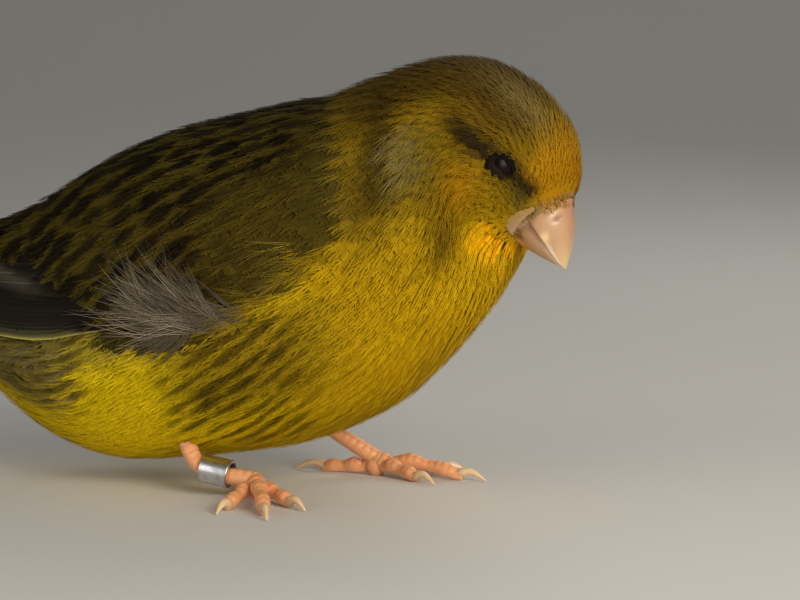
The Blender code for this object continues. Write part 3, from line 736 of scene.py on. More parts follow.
def web_grid(s, w):
    """All pairs of places along and across a feather, flat, and the triangles between them."""
    s_web, w_web = (a.ravel() for a in np.meshgrid(s, w, indexing="ij"))
    return s_web, w_web, halved(grid_faces(len(s), len(w), closed=False))


def tuft_template(seed, barbs=24, rows=5, web_end=0.66, run=(0.24, 0.46), wide=0.30, thin=0.011, loose=0.02):
    """A small soft feather in (s, w): a short web and free barbs that leave the shaft and bend along it.

    Barbs are ribbons of three triangles on the curve y = reach * (1 - (1 - t)^1.6), drawn in a frame where
    the half width is a share, wide, of the length, so that their own width is true.
    """
    draw = np.random.default_rng(seed)

    def outline(s):
        return 0.34 + 0.66 * smooth(0.0, 0.36, s) - 0.80 * smooth(0.55, 1.08, s)

    s_web, w_web, faces = web_grid(np.linspace(0.0, web_end, rows), np.linspace(-1, 1, 3))
    web = np.stack([s_web, w_web * outline(s_web) * 0.86, -0.03 * np.abs(w_web)], -1)
    hand = np.where(np.arange(barbs) % 2 == 0, 1.0, -1.0)
    start = np.linspace(0.12, web_end + 0.16, barbs) + draw.uniform(-0.03, 0.03, barbs)
    end = np.minimum(start + draw.uniform(*run, barbs), 1.0 + draw.uniform(-0.10, 0.10, barbs))
    reach = hand * outline(np.minimum(end, 1.0)) * draw.uniform(0.35, 1.05, barbs) * wide
    t = np.array([0.0, 0.5, 1.0])
    s = start[:, None] + (end - start)[:, None] * t
    y = hand[:, None] * 0.05 * wide + reach[:, None] * (1 - (1 - t) ** 1.6)
    along = unit(np.stack([np.gradient(s, axis=1), np.gradient(y, axis=1)], -1))
    half = thin * draw.uniform(0.7, 1.3, barbs)[:, None] * np.array([0.8, 1.0, 0.0])
    lift = (draw.uniform(0.0, 1.0, barbs)[:, None] * loose + 0.004) * (0.3 + t)

    def side(off):
        return np.stack([s - along[..., 1] * off, (y + along[..., 0] * off) / wide, lift], -1)

    left, right = side(half), side(-half)
    bits = np.stack([left[:, 0], right[:, 0], left[:, 1], right[:, 1], left[:, 2]], 1)
    ribbons = np.array([[0, 1, 3], [0, 3, 2], [2, 3, 4]]) + len(web) + 5 * np.arange(barbs)[:, None, None]
    tone = np.concatenate([np.zeros(len(web)), np.repeat(draw.uniform(-1.0, 1.0, barbs), 5)])
    points = np.vstack([web, bits.reshape(-1, 3)])
    return {"at": points, "faces": np.vstack([faces, ribbons.reshape(-1, 3)]), "tone": tone}


def tufts(first, count, **shape):
    """A few soft feathers of one kind that differ by their seed."""
    return [tuft_template(first + seed, **shape) for seed in range(count)]


def strand_template(seed, segments=8, strands=7, thin=0.026):
    """Loose hair-like barbs: ribbons that taper to a point, fanned apart across the width."""
    draw = np.random.default_rng(seed)
    s = np.linspace(0.0, 1.0, segments + 1)
    i = np.arange(segments - 1)
    quads = np.stack([i, segments + i, segments + i + 1, i + 1], -1)
    faces = np.vstack([halved(quads), [[segments - 1, 2 * segments - 1, 2 * segments]]])
    parts = []
    for _ in range(strands):
        aim, curl, far = draw.uniform(-1, 1), draw.uniform(-0.25, 0.25), draw.uniform(0.72, 1.0)
        w = aim * s**1.3 + curl * np.sin(s * math.pi)
        half = thin * (1.0 - s[:-1]) ** 0.7 * 0.5
        lift = 0.05 * np.sin(s[:-1] * 3)
        sides = [np.stack([s[:-1] * far, w[:-1] + off, lift], -1) for off in (-half, half)]
        tone = np.full(2 * segments + 1, draw.uniform(-1, 1))
        parts.append((np.vstack([*sides, [[far, w[-1], 0.05]]]), [faces], tone))
    at, (faces,), tone = joined(parts)
    return {"at": at, "faces": faces, "tone": tone}


def vane_template(seed, rows=20, outer=0.42, blunt=0.86):
    """A flight feather: a web of eight columns, narrow on its lower side, and a raised shaft.

    The half width rises over the first quarter and closes as a quarter ellipse beyond blunt.
    """
    draw = np.random.default_rng(seed)
    s = np.linspace(0.0, 1.0, rows) ** 0.9
    s_web, w_web, faces = web_grid(s, [-1.0, -0.86, -0.5, -0.16, 0.0, 0.5, 0.8, 1.0])
    round_off = np.sqrt(np.clip(1.0 - (np.clip(s_web - blunt, 0, None) / (1.004 - blunt)) ** 2, 0.0, 1.0))
    wide = (0.35 + 0.65 * smooth(0.0, 0.25, s_web)) * round_off * np.where(w_web > 0, outer, 1.0)
    ripple = 1.0 + 0.02 * np.sin(s_web * 40 + draw.uniform(0, 6)) * (np.abs(w_web) > 0.9)
    dip = -0.03 * w_web**2 - 0.10 * np.clip(-w_web, 0, 1) ** 2
    s_shaft, w_shaft, more = web_grid(s, [-0.035, 0.0, 0.035])
    ridge = np.where(w_shaft == 0, 0.07, 0.0) * (1.0 - 0.75 * s_shaft) + 0.004
    web = np.stack([s_web, w_web * wide * ripple, dip], -1)
    shaft = np.stack([s_shaft * 0.985, w_shaft * (1.0 - 0.8 * s_shaft), ridge], -1)
    return {
        "at": np.vstack([web, shaft]),
        "faces": np.vstack([faces, more + len(web)]),
        "tone": np.repeat([0.0, SHAFT_TONE], [len(web), len(shaft)]),
        "rim": np.concatenate([np.where(w_web > 0, 1.0, 0.6) * np.abs(w_web), np.zeros(len(shaft))]),
    }


def template_weights(at, stations):
    """How much each control point of a net counts at each template point: straight along, curved across."""
    s = np.clip(at[:, 0], 0.0, 1.12) * (stations - 1)
    k = np.minimum(s.astype(int), stations - 2)
    part, w, rows = (s - k)[:, None], at[:, 1], np.arange(len(at))
    cross = np.stack([w * (w - 1) / 2, 1 - w * w, w * (w + 1) / 2], -1)
    weights = np.zeros((len(at), stations, 3))
    weights[rows, k] += (1 - part) * cross
    weights[rows, k + 1] += part * cross
    return weights.reshape(len(at), -1)


def feather_colours(feathers, template):
    """Colours of every point of every feather: downy root, ground, dark streak, edge and tip."""
    s, w, _ = template["at"].T
    rim, shaft = np.abs(template.get("rim", w)), template["tone"] == SHAFT_TONE
    get = lambda key: getattr(feathers, key)[:, None]
    every = 0 * feathers.u[:, None]
    colour = mixed(get("root_colour"), get("colour"), smooth(0.15, 0.45, s) + every)
    spindle = np.abs(w) * (0.7 + 0.5 * smooth(0.5, 0.65, s) * smooth(0.95, 0.7, s))
    mark_share = smooth(get("streak_width") * 1.35, get("streak_width") * 0.65, spindle)
    mark_share = mark_share * smooth(0.37, 0.53, s) * smooth(0.945, 0.90, s)
    colour = mixed(colour, get("streak_colour"), np.clip(mark_share * get("streak"), 0, 1))
    edge = np.maximum(smooth(0.70, 0.96, rim), smooth(0.90, 1.0, s)) * get("edge")
    colour = mixed(colour, get("edge_colour"), np.clip(edge, 0, 1))
    if hasattr(feathers, "shaft_colour"):
        colour = mixed(colour, get("shaft_colour"), shaft * 0.85 + every)
    light = 1.0 + 0.06 * np.where(shaft, 0.0, template["tone"]) + get("shade")
    return np.clip(colour * light[..., None], 0.0, 1.0)


def coat_piece(name, form, feathers, templates, finish, unwrap, marks=None, orient=1.0, stations=5, **more):
    """One piece of the coat: each feather is one of the templates, bent over the surface and painted."""
    nets, outs = lie_nets(form, feathers, orient, stations)
    parts = []
    for number, template in enumerate(templates):
        some = np.arange(number, len(feathers.u), len(templates))
        at, tone, group = template["at"], template["tone"], feathers.kept(some)
        s, w, height = at.T
        low, rise, arch, crown, long, wide = (
            getattr(group, key)[:, None] for key in ("low", "rise", "arch", "crown", "length", "width")
        )
        weights = template_weights(at, stations)
        grids = (grid[some].reshape(len(some), -1, 3) for grid in (nets, outs))
        points, out = (np.einsum("tk,nkc->ntc", weights, grid) for grid in grids)
        out = unit(out)
        lift = low + rise * np.clip(s, 0, 1.1) ** arch + height * wide - crown * w**2
        points = points + out * lift[..., None]
        colours = feather_colours(group, template)
        if marks is not None:
            # The marks paint streaks on the coat and a painted sheen of light on the flight feathers.
            mark_share, shade = marks(points)
            mark_share = mark_share * smooth(0.2, 0.45, s) * (1.0 + 0.18 * tone)
            colours = mixed(colours, shade, np.clip(mark_share, 0, 1))
        over = unwrap(group)[:, None] + (at[:, :2] * [1.0, 0.5] - [0.5, 0.0]) * BAKE_PATCH
        vane = np.stack([s * long, w * wide / 2], -1) * 0.02 + 0.5
        faces = template["faces"] + len(at) * np.arange(len(some))[:, None, None]
        flat = [values.reshape(-1, values.shape[-1]) for values in (points, faces, colours, over, vane, out)]
        parts.append((flat[0], [flat[1]], *flat[2:]))
    points, faces, colours, over, vane, lean = joined(parts)
    maps = {"OFBake": over, "vane": vane}
    return make_piece(name, points, faces, finish, uvs=maps, tint=colours, lean=lean, **more)


def unwrap_body(feathers):
    """The skin's own unwrap: once round across, tail to bill up."""
    around = (feathers.v / TURN + 0.25) % 1.0
    return np.stack([0.01 + 0.98 * around, 0.04 + 0.94 * (feathers.u + 1.0) / 17.2], -1)


def unwrap_wing(feathers):
    """The wing's own unwrap: along it across, lower to upper edge up."""
    return np.stack([0.03 + 0.94 * (18.0 - feathers.u) / 86.0, 0.06 + 0.8 * np.clip(feathers.v, 0, 1.1)], -1)


def unwrap_tail(feathers):
    """The tail's own unwrap: along it across, right to left up."""
    return np.stack([0.03 + 0.9 * (2.0 - feathers.u) / 44.0, 0.5 + feathers.v / 24.0], -1)


def spread_evenly(density, u_range, v_range, seed):
    """Roots scattered by density: a two-way golden sequence read through the density's running sums."""
    u, v = (np.linspace(*ends, 360) for ends in (u_range, v_range))
    weight = density(*np.meshgrid(u, v, indexing="ij"))
    count = int(weight.sum() * ((u[1] - u[0]) * (v[1] - v[0])))
    turn = np.arange(count) + seed
    first, second = (0.5 + turn / GOLDEN) % 1.0, (0.5 + turn / GOLDEN**2) % 1.0
    rows = np.cumsum(weight.sum(1))
    at = np.clip(np.searchsorted(rows, first * rows[-1]), 0, len(u) - 1)
    columns = np.cumsum(weight, axis=1)
    flat = (columns / columns[:, -1:] + np.arange(len(u))[:, None]).ravel()
    found = np.clip(np.searchsorted(flat, second + at), 0, flat.size - 1) - at * len(v)
    stray = np.random.default_rng(seed).uniform(-0.5, 0.5, count) * (v[1] - v[0])
    return np.interp(first * rows[-1], rows, u), v[np.clip(found, 0, len(v) - 1)] + stray


# Markings


def layered(colour, *layers):
    """Colours laid over one another, each layer a colour and its share."""
    for over, share in layers:
        colour = mixed(colour, over, share)
    return colour


def gape_line(up):
    """The station at which the coat ends on the bill's root, by degrees up from the flank."""
    heights = [-70.0, -50.0, -34.0, -20.0, 0.0, 15.0, 40.0, 90.0]
    return np.interp(up, heights, [16.4, 15.7, 14.95, 15.2, 15.6, 15.9, 16.2, 16.4])


def markings(place, angle, coat):
    """The coat's ground colour at a place on the body, lightened below by painted light and partly painted
    shade on chin and back, and how much of the back and of the crown is there.

    Each patch is a product of S curves or bells in the station number and in the degrees up from the flank.
    """
    up = up_from_side(angle)
    gape = gape_line(up)

    def area(from_place, to_place, from_up, to_up):
        return smooth(from_place, to_place, place) * smooth(from_up, to_up, up)

    def spot(middle, long, high, tall):
        return bump(middle, long, place) * bump(high, tall, up)

    top = area(8.6, 9.4, 26.0, 44.0) * smooth(14.9, 13.9, place + 0.012 * up)
    bow = bump(9.5, 0.34, place - 0.012 * (up - 20.0)) * smooth(-8.0, 6.0, up) * smooth(66.0, 44.0, up)
    line = np.interp(place, [11.6, 12.4, 13.2, 14.0, 14.8, 15.4], [24.0, 14.0, 8.0, 8.0, 9.0, 22.0])
    thick = np.interp(place, [11.6, 12.6, 13.3, 14.2, 14.9, 15.4], [8.0, 11.0, 12.0, 13.0, 12.0, 6.0])
    through = smooth(11.2, 12.2, place) * smooth(15.5, 15.0, place) * bump(0.0, 1.0, (up - line) / thick)
    beside = smooth(gape - 0.5, gape - 0.1, place) * (0.12 + 0.48 * smooth(66.0, 40.0, up))
    colour = layered(
        coat.belly,
        (coat.breast, smooth(5.4, 8.6, place)),
        # The vent and the side of the neck.
        (linear(206, 176, 96), area(2.4, 1.0, -10.0, -40.0)),
        (linear(112, 90, 10), area(8.2, 8.9, -22.0, 6.0)),
        # The nape and the crown, and a dark bow behind the ear.
        (coat.crown, top),
        (linear(54, 40, 5), 0.9 * bow),
        # The cheek, the ear, the shade under it and the gold before it.
        (coat.cheek, area(9.9, 10.5, 40.0, 24.0) * smooth(-42.0, -24.0, up)),
        (linear(112, 94, 26), 0.75 * spot(10.7, 0.8, 8.0, 18.0)),
        (linear(96, 70, 8), 0.85 * spot(10.35, 0.62, -29.0, 11.0)),
        (linear(160, 112, 6), 0.8 * spot(12.0, 0.9, -12.0, 12.0)),
        # The throat, the chin in a darker gold that is partly its own colour and partly painted shade, the
        # forehead, and dark and pale over the eye.
        (coat.throat, area(10.9, 11.8, -32.0, -46.0)),
        (linear(160, 126, 6), 0.6 * area(12.8, 13.9, -14.0, -34.0)),
        (linear(166, 118, 8), smooth(14.1, 15.1, place + 0.006 * up) * smooth(4.0, 22.0, up)),
        (linear(72, 50, 8), 0.8 * spot(12.9, 0.9, 32.0, 11.0)),
        (linear(142, 120, 62), 0.8 * spot(13.3, 0.85, 62.0, 16.0)),
        # The line through the eye, the grey lores, and pale feathers beside the bill's root.
        (linear(36, 25, 10), 0.97 * through),
        (linear(84, 70, 30), 0.6 * spot(14.75, 0.45, -4.0, 10.0)),
        (linear(170, 134, 74), beside),
    )
    # Painted light: the underside from the vent forward is made lighter, for light thrown up from below.
    colour = colour * (1.0 + 0.32 * area(2.5, 4.5, -22.0, -60.0))[..., None]
    edge = np.interp(place, [2.5, 4.5, 6.6, 7.2, 7.9, 8.4], [-6.0, -9.0, -14.0, -10.0, -5.0, 0.0])
    back = smooth(-4.0, 4.0, up - edge) * smooth(8.75, 8.3, place + 0.004 * up)
    colour = layered(
        colour,
        (linear(84, 70, 24), area(9.0, 8.5, -4.0, 12.0)),
        (coat.back, back),
        (coat.rump, area(3.4, 2.2, 14.0, 34.0)),
        # The flank, the pale edge under the wing, and the part behind the leg.
        (linear(128, 104, 14), 0.8 * area(5.3, 6.1, -10.0, -17.0) * area(8.6, 7.3, -58.0, -34.0)),
        (linear(160, 146, 62), 0.6 * bump(-13.0, 5.0, up) * smooth(6.2, 5.4, place)),
        (linear(112, 98, 50), 0.85 * area(4.2, 3.4, -4.0, -12.0) * area(0.6, 2.0, -50.0, -34.0)),
    )
    return colour, back, top


def chance(i, j, kind):
    """A repeatable number from 0 to 1 for each cell of a lattice."""
    value = np.sin(i * 12.9898 + j * 78.233 + kind * 37.719) * 43758.5453
    return value - np.floor(value)


def spindles(along, across, pitch, size, seed, blur):
    """Spindle marks, one to a cell of a staggered lattice, each a little out of its place and size.

    A mark is 1 inside |across| < half width * (1 - (along / half length)^2) and fades over blur.
    """
    (pitch_a, pitch_c), (half_a, half_c) = pitch, size
    column = np.floor(across / pitch_c)
    mark_share = np.zeros(np.shape(along))
    for j in (column + side for side in (-1.0, 0.0, 1.0)):
        shift = 0.5 * (j % 2) + 0.3 * (chance(j, 0.0, seed) - 0.5)
        row = np.floor(along / pitch_a - shift)
        for i in (row + back for back in (-1.0, 0.0, 1.0)):
            a, c, long, thick, strong = (chance(i, j, seed + kind) for kind in range(1, 6))
            a = along - (i + shift + 0.5 + 0.36 * (a - 0.5)) * pitch_a
            c = across - (j + 0.5 + 0.34 * (c - 0.5)) * pitch_c
            long, thick = half_a * (0.7 + 0.6 * long), half_c * (0.7 + 0.6 * thick)
            inside = 1.0 - (a / long) ** 2 - np.abs(c) / thick
            mark_share = np.maximum(mark_share, smooth(-blur, blur, inside) * (0.75 + 0.25 * strong))
    return mark_share


def streak_marks(points):
    """Strength and colour of the streaks at points in space: back and wings, flanks, and behind the legs."""
    x, y, z = np.moveaxis(points, -1, 0)
    rows = spline(BODY_ROWS, station_at(x))
    middle, tall, half = (rows[..., 1] + rows[..., 3]) / 2, (rows[..., 1] - rows[..., 3]) / 2, rows[..., 4]
    up = np.degrees(np.arctan2((z - middle) / tall, np.abs(y) / half))
    arc, hand = np.radians(up) * 20.0, np.where(y > 0, 40.0, 0.0)
    edge = back_edge(x)
    fade = smooth(17.0, 9.0, x) * (1.0 - 0.72 * smooth(-3.0, 6.0, x) * smooth(44.0, 24.0, up))
    back = smooth(edge - 3.0, edge + 4.0, up) * fade * smooth(-44.0, -36.0, x)
    lie = arc - 0.50 * x * np.cos(np.radians(up)) ** 1.5
    marks = back * spindles(x + 0.25 * arc + hand, lie, (4.4, 2.6), (2.6, 0.92), 1.0, 0.16)
    flank = smooth(-8.0, -3.0, x) * smooth(17.0, 9.0, x) * smooth(-6.0, -14.0, up) * smooth(-74.0, -56.0, up)
    long = spindles(x + 0.4 * arc + hand, arc - 0.46 * x, (6.6, 2.1), (3.6, 0.62), 20.0, 0.3)
    vent = smooth(-13.0, -18.0, x) * smooth(-40.0, -34.0, x)
    vent = vent * smooth(-4.0, -9.0, up) * smooth(-44.0, -30.0, up)
    short = spindles(x + hand, arc - 0.34 * x, (5.6, 1.7), (3.0, 0.50), 40.0, 0.3)
    marks = np.maximum(np.maximum(marks, 0.85 * flank * long), 0.85 * vent * short)
    return marks, layered(linear(14, 8, 4), (linear(52, 38, 7), flank), (linear(58, 48, 26), vent))


def slants(place, angle):
    """How far the coat's lie is turned down from straight back, in radians."""
    up = up_from_side(angle)
    turn = 0.30 * smooth(9.0, 6.0, place) * smooth(3.0, 5.0, place) * smooth(10.0, -30.0, up)
    turn = turn + 0.10 * smooth(9.0, 5.0, place) * smooth(0.0, 40.0, up)
    turn = turn + 0.35 * bump(12.4, 1.6, place) * smooth(50.0, 0.0, up) * smooth(-60.0, -20.0, up)
    return turn * np.clip(np.cos(np.radians(up)), 0.0, 1.0) ** 0.6


def wing_sheen(points):
    """A painted sheen: grey light along the top of the bare part of the folded wing, just under the coverts,
    where the panel's curve catches the light.
    """
    x, _, z = np.moveaxis(points, -1, 0)
    line = 26.6 - 0.31 * (x + 24.0)
    painted_sheen = smooth(line - 2.3, line, z) * smooth(line + 0.9, line + 0.1, z)
    return 0.5 * painted_sheen * smooth(-46.0, -34.0, x) * smooth(-20.0, -24.0, x), linear(92, 86, 70)


def back_edge(x):
    """Degrees up from the flank at which the streaked back begins."""
    return np.interp(x, [-30.0, -12.0, 2.0, 7.0, 12.0, 18.0], [-6.0, -9.0, -14.0, -10.0, -3.0, 6.0])


# Where the feathers stand


def coat_sizes(place, angle, coat):
    """Spacing, length and width of feathers in millimetres, and how much of the back's kind they are."""
    back = markings(place, angle, coat)[1] * smooth(2.0, 3.0, place)
    head, face = smooth(9.6, 11.4, place), smooth(13.2, 15.4, place)
    spacing = coat.body_spacing * (1 - head) + coat.head_spacing * head * (1 - 0.30 * face)
    spacing = spacing * (1 - back) + coat.back_spacing * back
    length = coat.body_length * (1 - head) + head * (coat.head_length * (1 - face) + coat.face_length * face)
    length = length * (1 - 0.15 * bump(9.4, 1.0, place))
    return spacing / MM, length / MM, length * (0.46 - 0.06 * head) / MM, back


def body_feathers(coat):
    """Every small feather of the body, and how much of the back's kind each is."""

    def density(place, angle):
        _, _, along, across = surface_frame(coat_base, place, angle)
        return np.linalg.norm(np.cross(along, across), axis=-1) / coat_sizes(place, angle, coat)[0] ** 2

    place, angle = spread_evenly(density, (-0.9, 15.97), (0.0, TURN), 7)
    _, length, width, back = coat_sizes(place, angle, coat)
    draw = np.random.default_rng(11)
    few = lambda amount: draw.uniform(-amount, amount, len(place))
    length = length * (1.0 + few(0.12))
    # The colour is read where the feather shows, most of a length behind its root.
    along = surface_frame(coat_base, place, angle)[2]
    behind = place - 0.62 * length / np.maximum(np.linalg.norm(along, axis=-1), 1e-6)
    colour, _, top = markings(behind, angle, coat)
    depth = coat.depth / MM
    head, face = smooth(9.6, 11.4, place), smooth(13.2, 15.4, place)
    calm = smooth(2.8, 4.2, place) * smooth(-16.0, -34.0, up_from_side(angle))
    root = colour * np.maximum(0.80 + 0.12 * head, 0.95 * calm)[:, None]
    feathers = Feathers(
        place,
        angle,
        side_of(angle),
        length=length,
        width=width * (1.0 + few(0.1)),
        slant=slants(place, angle) + few(0.10) * (1 - 0.4 * calm),
        bend=0.10 * few(1.0),
        low=-depth * (1 - 0.62 * face) * (1 - 0.25 * head) - 0.35 * back,
        rise=depth * (1 - 0.55 * face) * (1.06 + few(0.09) * (1 - calm)) * (1 - 0.25 * calm) + 0.06,
        arch=0.9 - 0.3 * calm,
        crown=0.16 + 0.30 * back - 0.08 * head,
        colour=colour * (1.0 + few(0.05))[:, None],
        root_colour=mixed(root, np.array(coat.down) * 0.7, 0.16 * (1 - head)),
        streak=0.55 * top * (0.95 + few(0.3)),
        streak_width=np.where((back <= 0.4) & (head > 0.5), 0.34, 0.30) * (1 + few(0.2)),
        streak_colour=mixed(coat.streak, linear(70, 55, 18), np.where(back > 0.4, 0.0, 0.7)),
        edge=0.30 * back,
        edge_colour=linear(150, 128, 40),
        shade=few(0.04),
    )
    return feathers, back


def clear_of_eyes(feathers):
    """Shortens feathers that would reach over an eye's slanting opening and drops those that root in it."""
    nets, _ = lie_nets(coat_base, feathers, stations=7)
    keep = np.ones(len(feathers.u), bool)
    for side in SIDES.values():
        centre, out = eye_frame(side)
        long, short = eye_axes(side)
        line = nets[:, :, 1] - centre
        away = np.hypot((line @ long) / 1.60, (line @ short) / 0.92) + np.where(line @ out < -2.0, 9.0, 0.0)
        inside = away < 1.0
        first = np.where(inside.any(1), inside.argmax(1), 99)
        keep &= first > 0
        feathers.length = feathers.length * np.clip((first - 0.4) / 6.0, 0.25, 1.0)
    return feathers.kept(keep)


def streaked_feathers(side, coat):
    """The streaked feathers of one half of the back, then of its wing, in staggered rows along the lie."""
    draw = np.random.default_rng(9)
    x, up = [], []
    for number, row in enumerate(np.arange(18.6, -31.0, -1.4)):
        step = math.degrees(1.3 / np.interp(row, [-30.0, -17.0, 0.0, 18.0], [15.0, 19.5, 21.5, 18.0]))
        spots = np.arange(back_edge(row) + step * (0.25 + 0.5 * (number % 2)), 91.0, step)
        x.append(row + draw.uniform(-0.6, 0.6, len(spots)))
        up.append(spots + draw.uniform(-1.2, 1.2, len(spots)))
    x, up = np.concatenate(x), np.minimum(np.concatenate(up), 90.0)
    low, high = np.moveaxis(by_x(WING_EDGES, x), -1, 0)
    v = (up - low) / (high - low)
    # The lower hinder coverts end where the flight feathers come out.
    places = [-30.0, -26.0, -22.0, -17.0, -14.0, -8.0, -4.0]
    bare = np.interp(x, places, [0.84, 0.66, 0.59, 0.54, 0.29, 0.14, -1.0])
    keep = (v > bare) & ((x > -24.0) | (v < 1.02) | (up > 60.0))
    folded = (x < -9.0) & (v < 1.02)
    sets = []
    for on_wing in (False, True):
        x_, up_, v_ = (values[keep & (folded == on_wing)] for values in (x, up, v))
        few = lambda amount: draw.uniform(-amount, amount, len(x_))
        top = smooth(62.0, 84.0, up_)
        olive = 0.7 * smooth(-8.0, 2.0, x_) * smooth(55.0, 20.0, up_)
        colour = layered(coat.back, (linear(70, 56, 10), olive), (coat.rump, smooth(-26.0, -34.0, x_)))
        feathers = Feathers(
            x_ if on_wing else station_at(x_),
            v_ if on_wing else side_angle(up_, side),
            side,
            length=6.8 * (1 + few(0.10)) * (1 - 0.12 * top),
            width=3.1 * (1 + few(0.1)),
            slant=(0.18 if on_wing else 0.30 * (1 - top) * (1 - 0.4 * smooth(-6.0, -14.0, x_))) + few(0.08),
            bend=few(0.12),
            low=1.10 if on_wing else -0.75,
            rise=0.98 + few(0.10),
            arch=0.9,
            crown=0.16,
            colour=colour * (1.0 + few(0.13))[:, None],
            root_colour=colour * 0.5,
            edge=0.22,
            edge_colour=linear(112, 98, 26),
            shade=few(0.06),
        )
        sets.append(feathers)
    return sets


# Operators


class Piece(bpy.types.Operator):
    """Base of the operators that make a piece."""

    bl_options = {"REGISTER", "UNDO"}


class CANARY_OT_skin(Piece):
    """Makes the skin: the body's form drawn in by the coat's depth, closed at both ends"""

    bl_idname = "canary.skin"
    bl_label = "Skin"

    def execute(self, context):
        coat = context.scene.canary_coat
        rings, around = 190, 160
        run = np.linspace(-0.6, BILL_ROOT + 0.7, rings)
        angle, place = np.meshgrid(np.linspace(0.0, TURN, around, endpoint=False), run)
        point, out, _, _ = surface_frame(skin_base, place, angle)
        up = up_from_side(angle)
        gape = gape_line(up)
        shallow = 1.0 - 0.45 * smooth(9.0, 11.0, place) * smooth(-20.0, -40.0, up)
        inside = coat.depth / MM * (1.0 - 0.72 * smooth(13.5, 15.3, place)) * shallow
        inside = inside + 1.2 * smooth(gape - 0.15, gape + 0.35, place)
        colour = markings(place, angle, coat)[0] * 0.8
        colour = mixed(colour, linear(176, 140, 104), smooth(gape - 0.05, gape + 0.3, place))
        points, faces, tint = tube_part(point - out * inside[..., None], colour)
        over = np.stack(np.meshgrid(np.linspace(0, 1, around), np.linspace(0, 1, rings)), -1).reshape(-1, 2)
        over = np.vstack([over * 0.98 + 0.01, [[0.5, 0.0], [0.5, 1.0]]])
        nodes = ("torso", "neck", "head")
        make_piece("skin", points, faces, skin_finish(), "plumage", {"OFBake": over}, tint, nodes)
        return {"FINISHED"}


class CANARY_OT_coat(Piece):
    """Makes the body's coat: thousands of small feathers, from face to vent, in pieces"""

    bl_idname = "canary.coat"
    bl_label = "Coat"

    def execute(self, context):
        coat = context.scene.canary_coat
        feathers, back = body_feathers(coat)
        x, up = coat_base(feathers.u, feathers.v)[:, 0], up_from_side(feathers.v)
        low, high = np.moveaxis(by_x(WING_EDGES, x), -1, 0)
        # One feather in three stays under the streaked back, and none under the folded wings' hinder part.
        covered = (back > 0.9) & (feathers.u > 3.0) & (feathers.u < 7.6) & (np.arange(len(x)) % 3 > 0)
        folded = (x < -14.0) & (x > -44.0) & (up > low - 5) & (up < high - 4)
        feathers = clear_of_eyes(feathers.kept(~covered & ~folded & (feathers.u < gape_line(up) + 0.02)))
        finish = feather_finish("plumage_soft")
        fine = tufts(10, 6, barbs=20, rows=4, web_end=0.6, run=(0.28, 0.5), wide=0.22, thin=0.013, loose=0.01)
        for label, on_head, templates in (("body", False, tufts(0, 6)), ("head", True, fine)):
            order = np.nonzero((feathers.u > 10.5) == on_head)[0]
            order = order[np.argsort(feathers.u[order])]
            pieces = math.ceil(len(order) * len(templates[0]["faces"]) / PIECE_TRIANGLES)
            for number, some in enumerate(np.array_split(order, pieces)):
                name = f"coat_{label}_{number + 1}"
                marks = None if on_head else streak_marks
                coat_piece(name, coat_base, feathers.kept(some), templates, finish, unwrap_body, marks)
        self.bill_base(coat, finish)
        return {"FINISHED"}

    def bill_base(self, coat, finish):
        """Tiny pale feathers that point forward over the root of the bill."""
        draw = np.random.default_rng(3)
        count = 640
        angle = draw.uniform(0.0, TURN, count)
        up = up_from_side(angle)
        place = gape_line(up) - draw.uniform(0.02, 0.45, count)
        pale = 0.15 + 0.65 * smooth(0.42, 0.05, gape_line(up) - place) * smooth(74.0, 40.0, up)
        colour = markings(place - 0.3, angle, coat)[0]
        shade = (linear(92, 74, 36), 0.65 * bump(8.0, 9.0, up))
        colour = layered(colour, (linear(184, 146, 96), pale), shade)
        length = draw.uniform(0.7, 1.4, count) * (1.0 + 0.9 * smooth(16.0, 8.0, up))
        feathers = Feathers(
            place,
            angle,
            side_of(angle),
            length=length,
            width=length * 0.26,
            slant=math.pi + draw.uniform(-0.35, 0.35, count),
            low=-0.45,
            rise=0.42 + draw.uniform(-0.12, 0.12, count),
            arch=0.8,
            crown=0.03,
            colour=colour * draw.uniform(0.75, 1.1, count)[:, None],
            root_colour=colour * 0.8,
        )
        soft = tufts(30, 4, barbs=8, rows=3, web_end=0.12, run=(0.55, 0.9), wide=0.30, thin=0.034)
        coat_piece("coat_bill_base", body, feathers, soft, finish, unwrap_body)


class CANARY_OT_streaks(Piece):
    """Makes the streaked feathers of the back and the coverts of the wings"""

    bl_idname = "canary.streaks"
    bl_label = "Streaked back"

    def execute(self, context):
        finish = feather_finish("plumage_soft")
        soft = tufts(40, 6, barbs=22, rows=7, web_end=0.74, wide=0.23, thin=0.012)
        for name, side in SIDES.items():
            on_body, on_wing = streaked_feathers(side, context.scene.canary_coat)
            coat_piece(f"back_feathers_{name}", body, on_body, soft, finish, unwrap_body, streak_marks)
            sheet = wing_sheet(side)
            coat_piece(f"wing_coverts_{name}", sheet, on_wing, soft, finish, unwrap_wing, streak_marks, side)
        return {"FINISHED"}


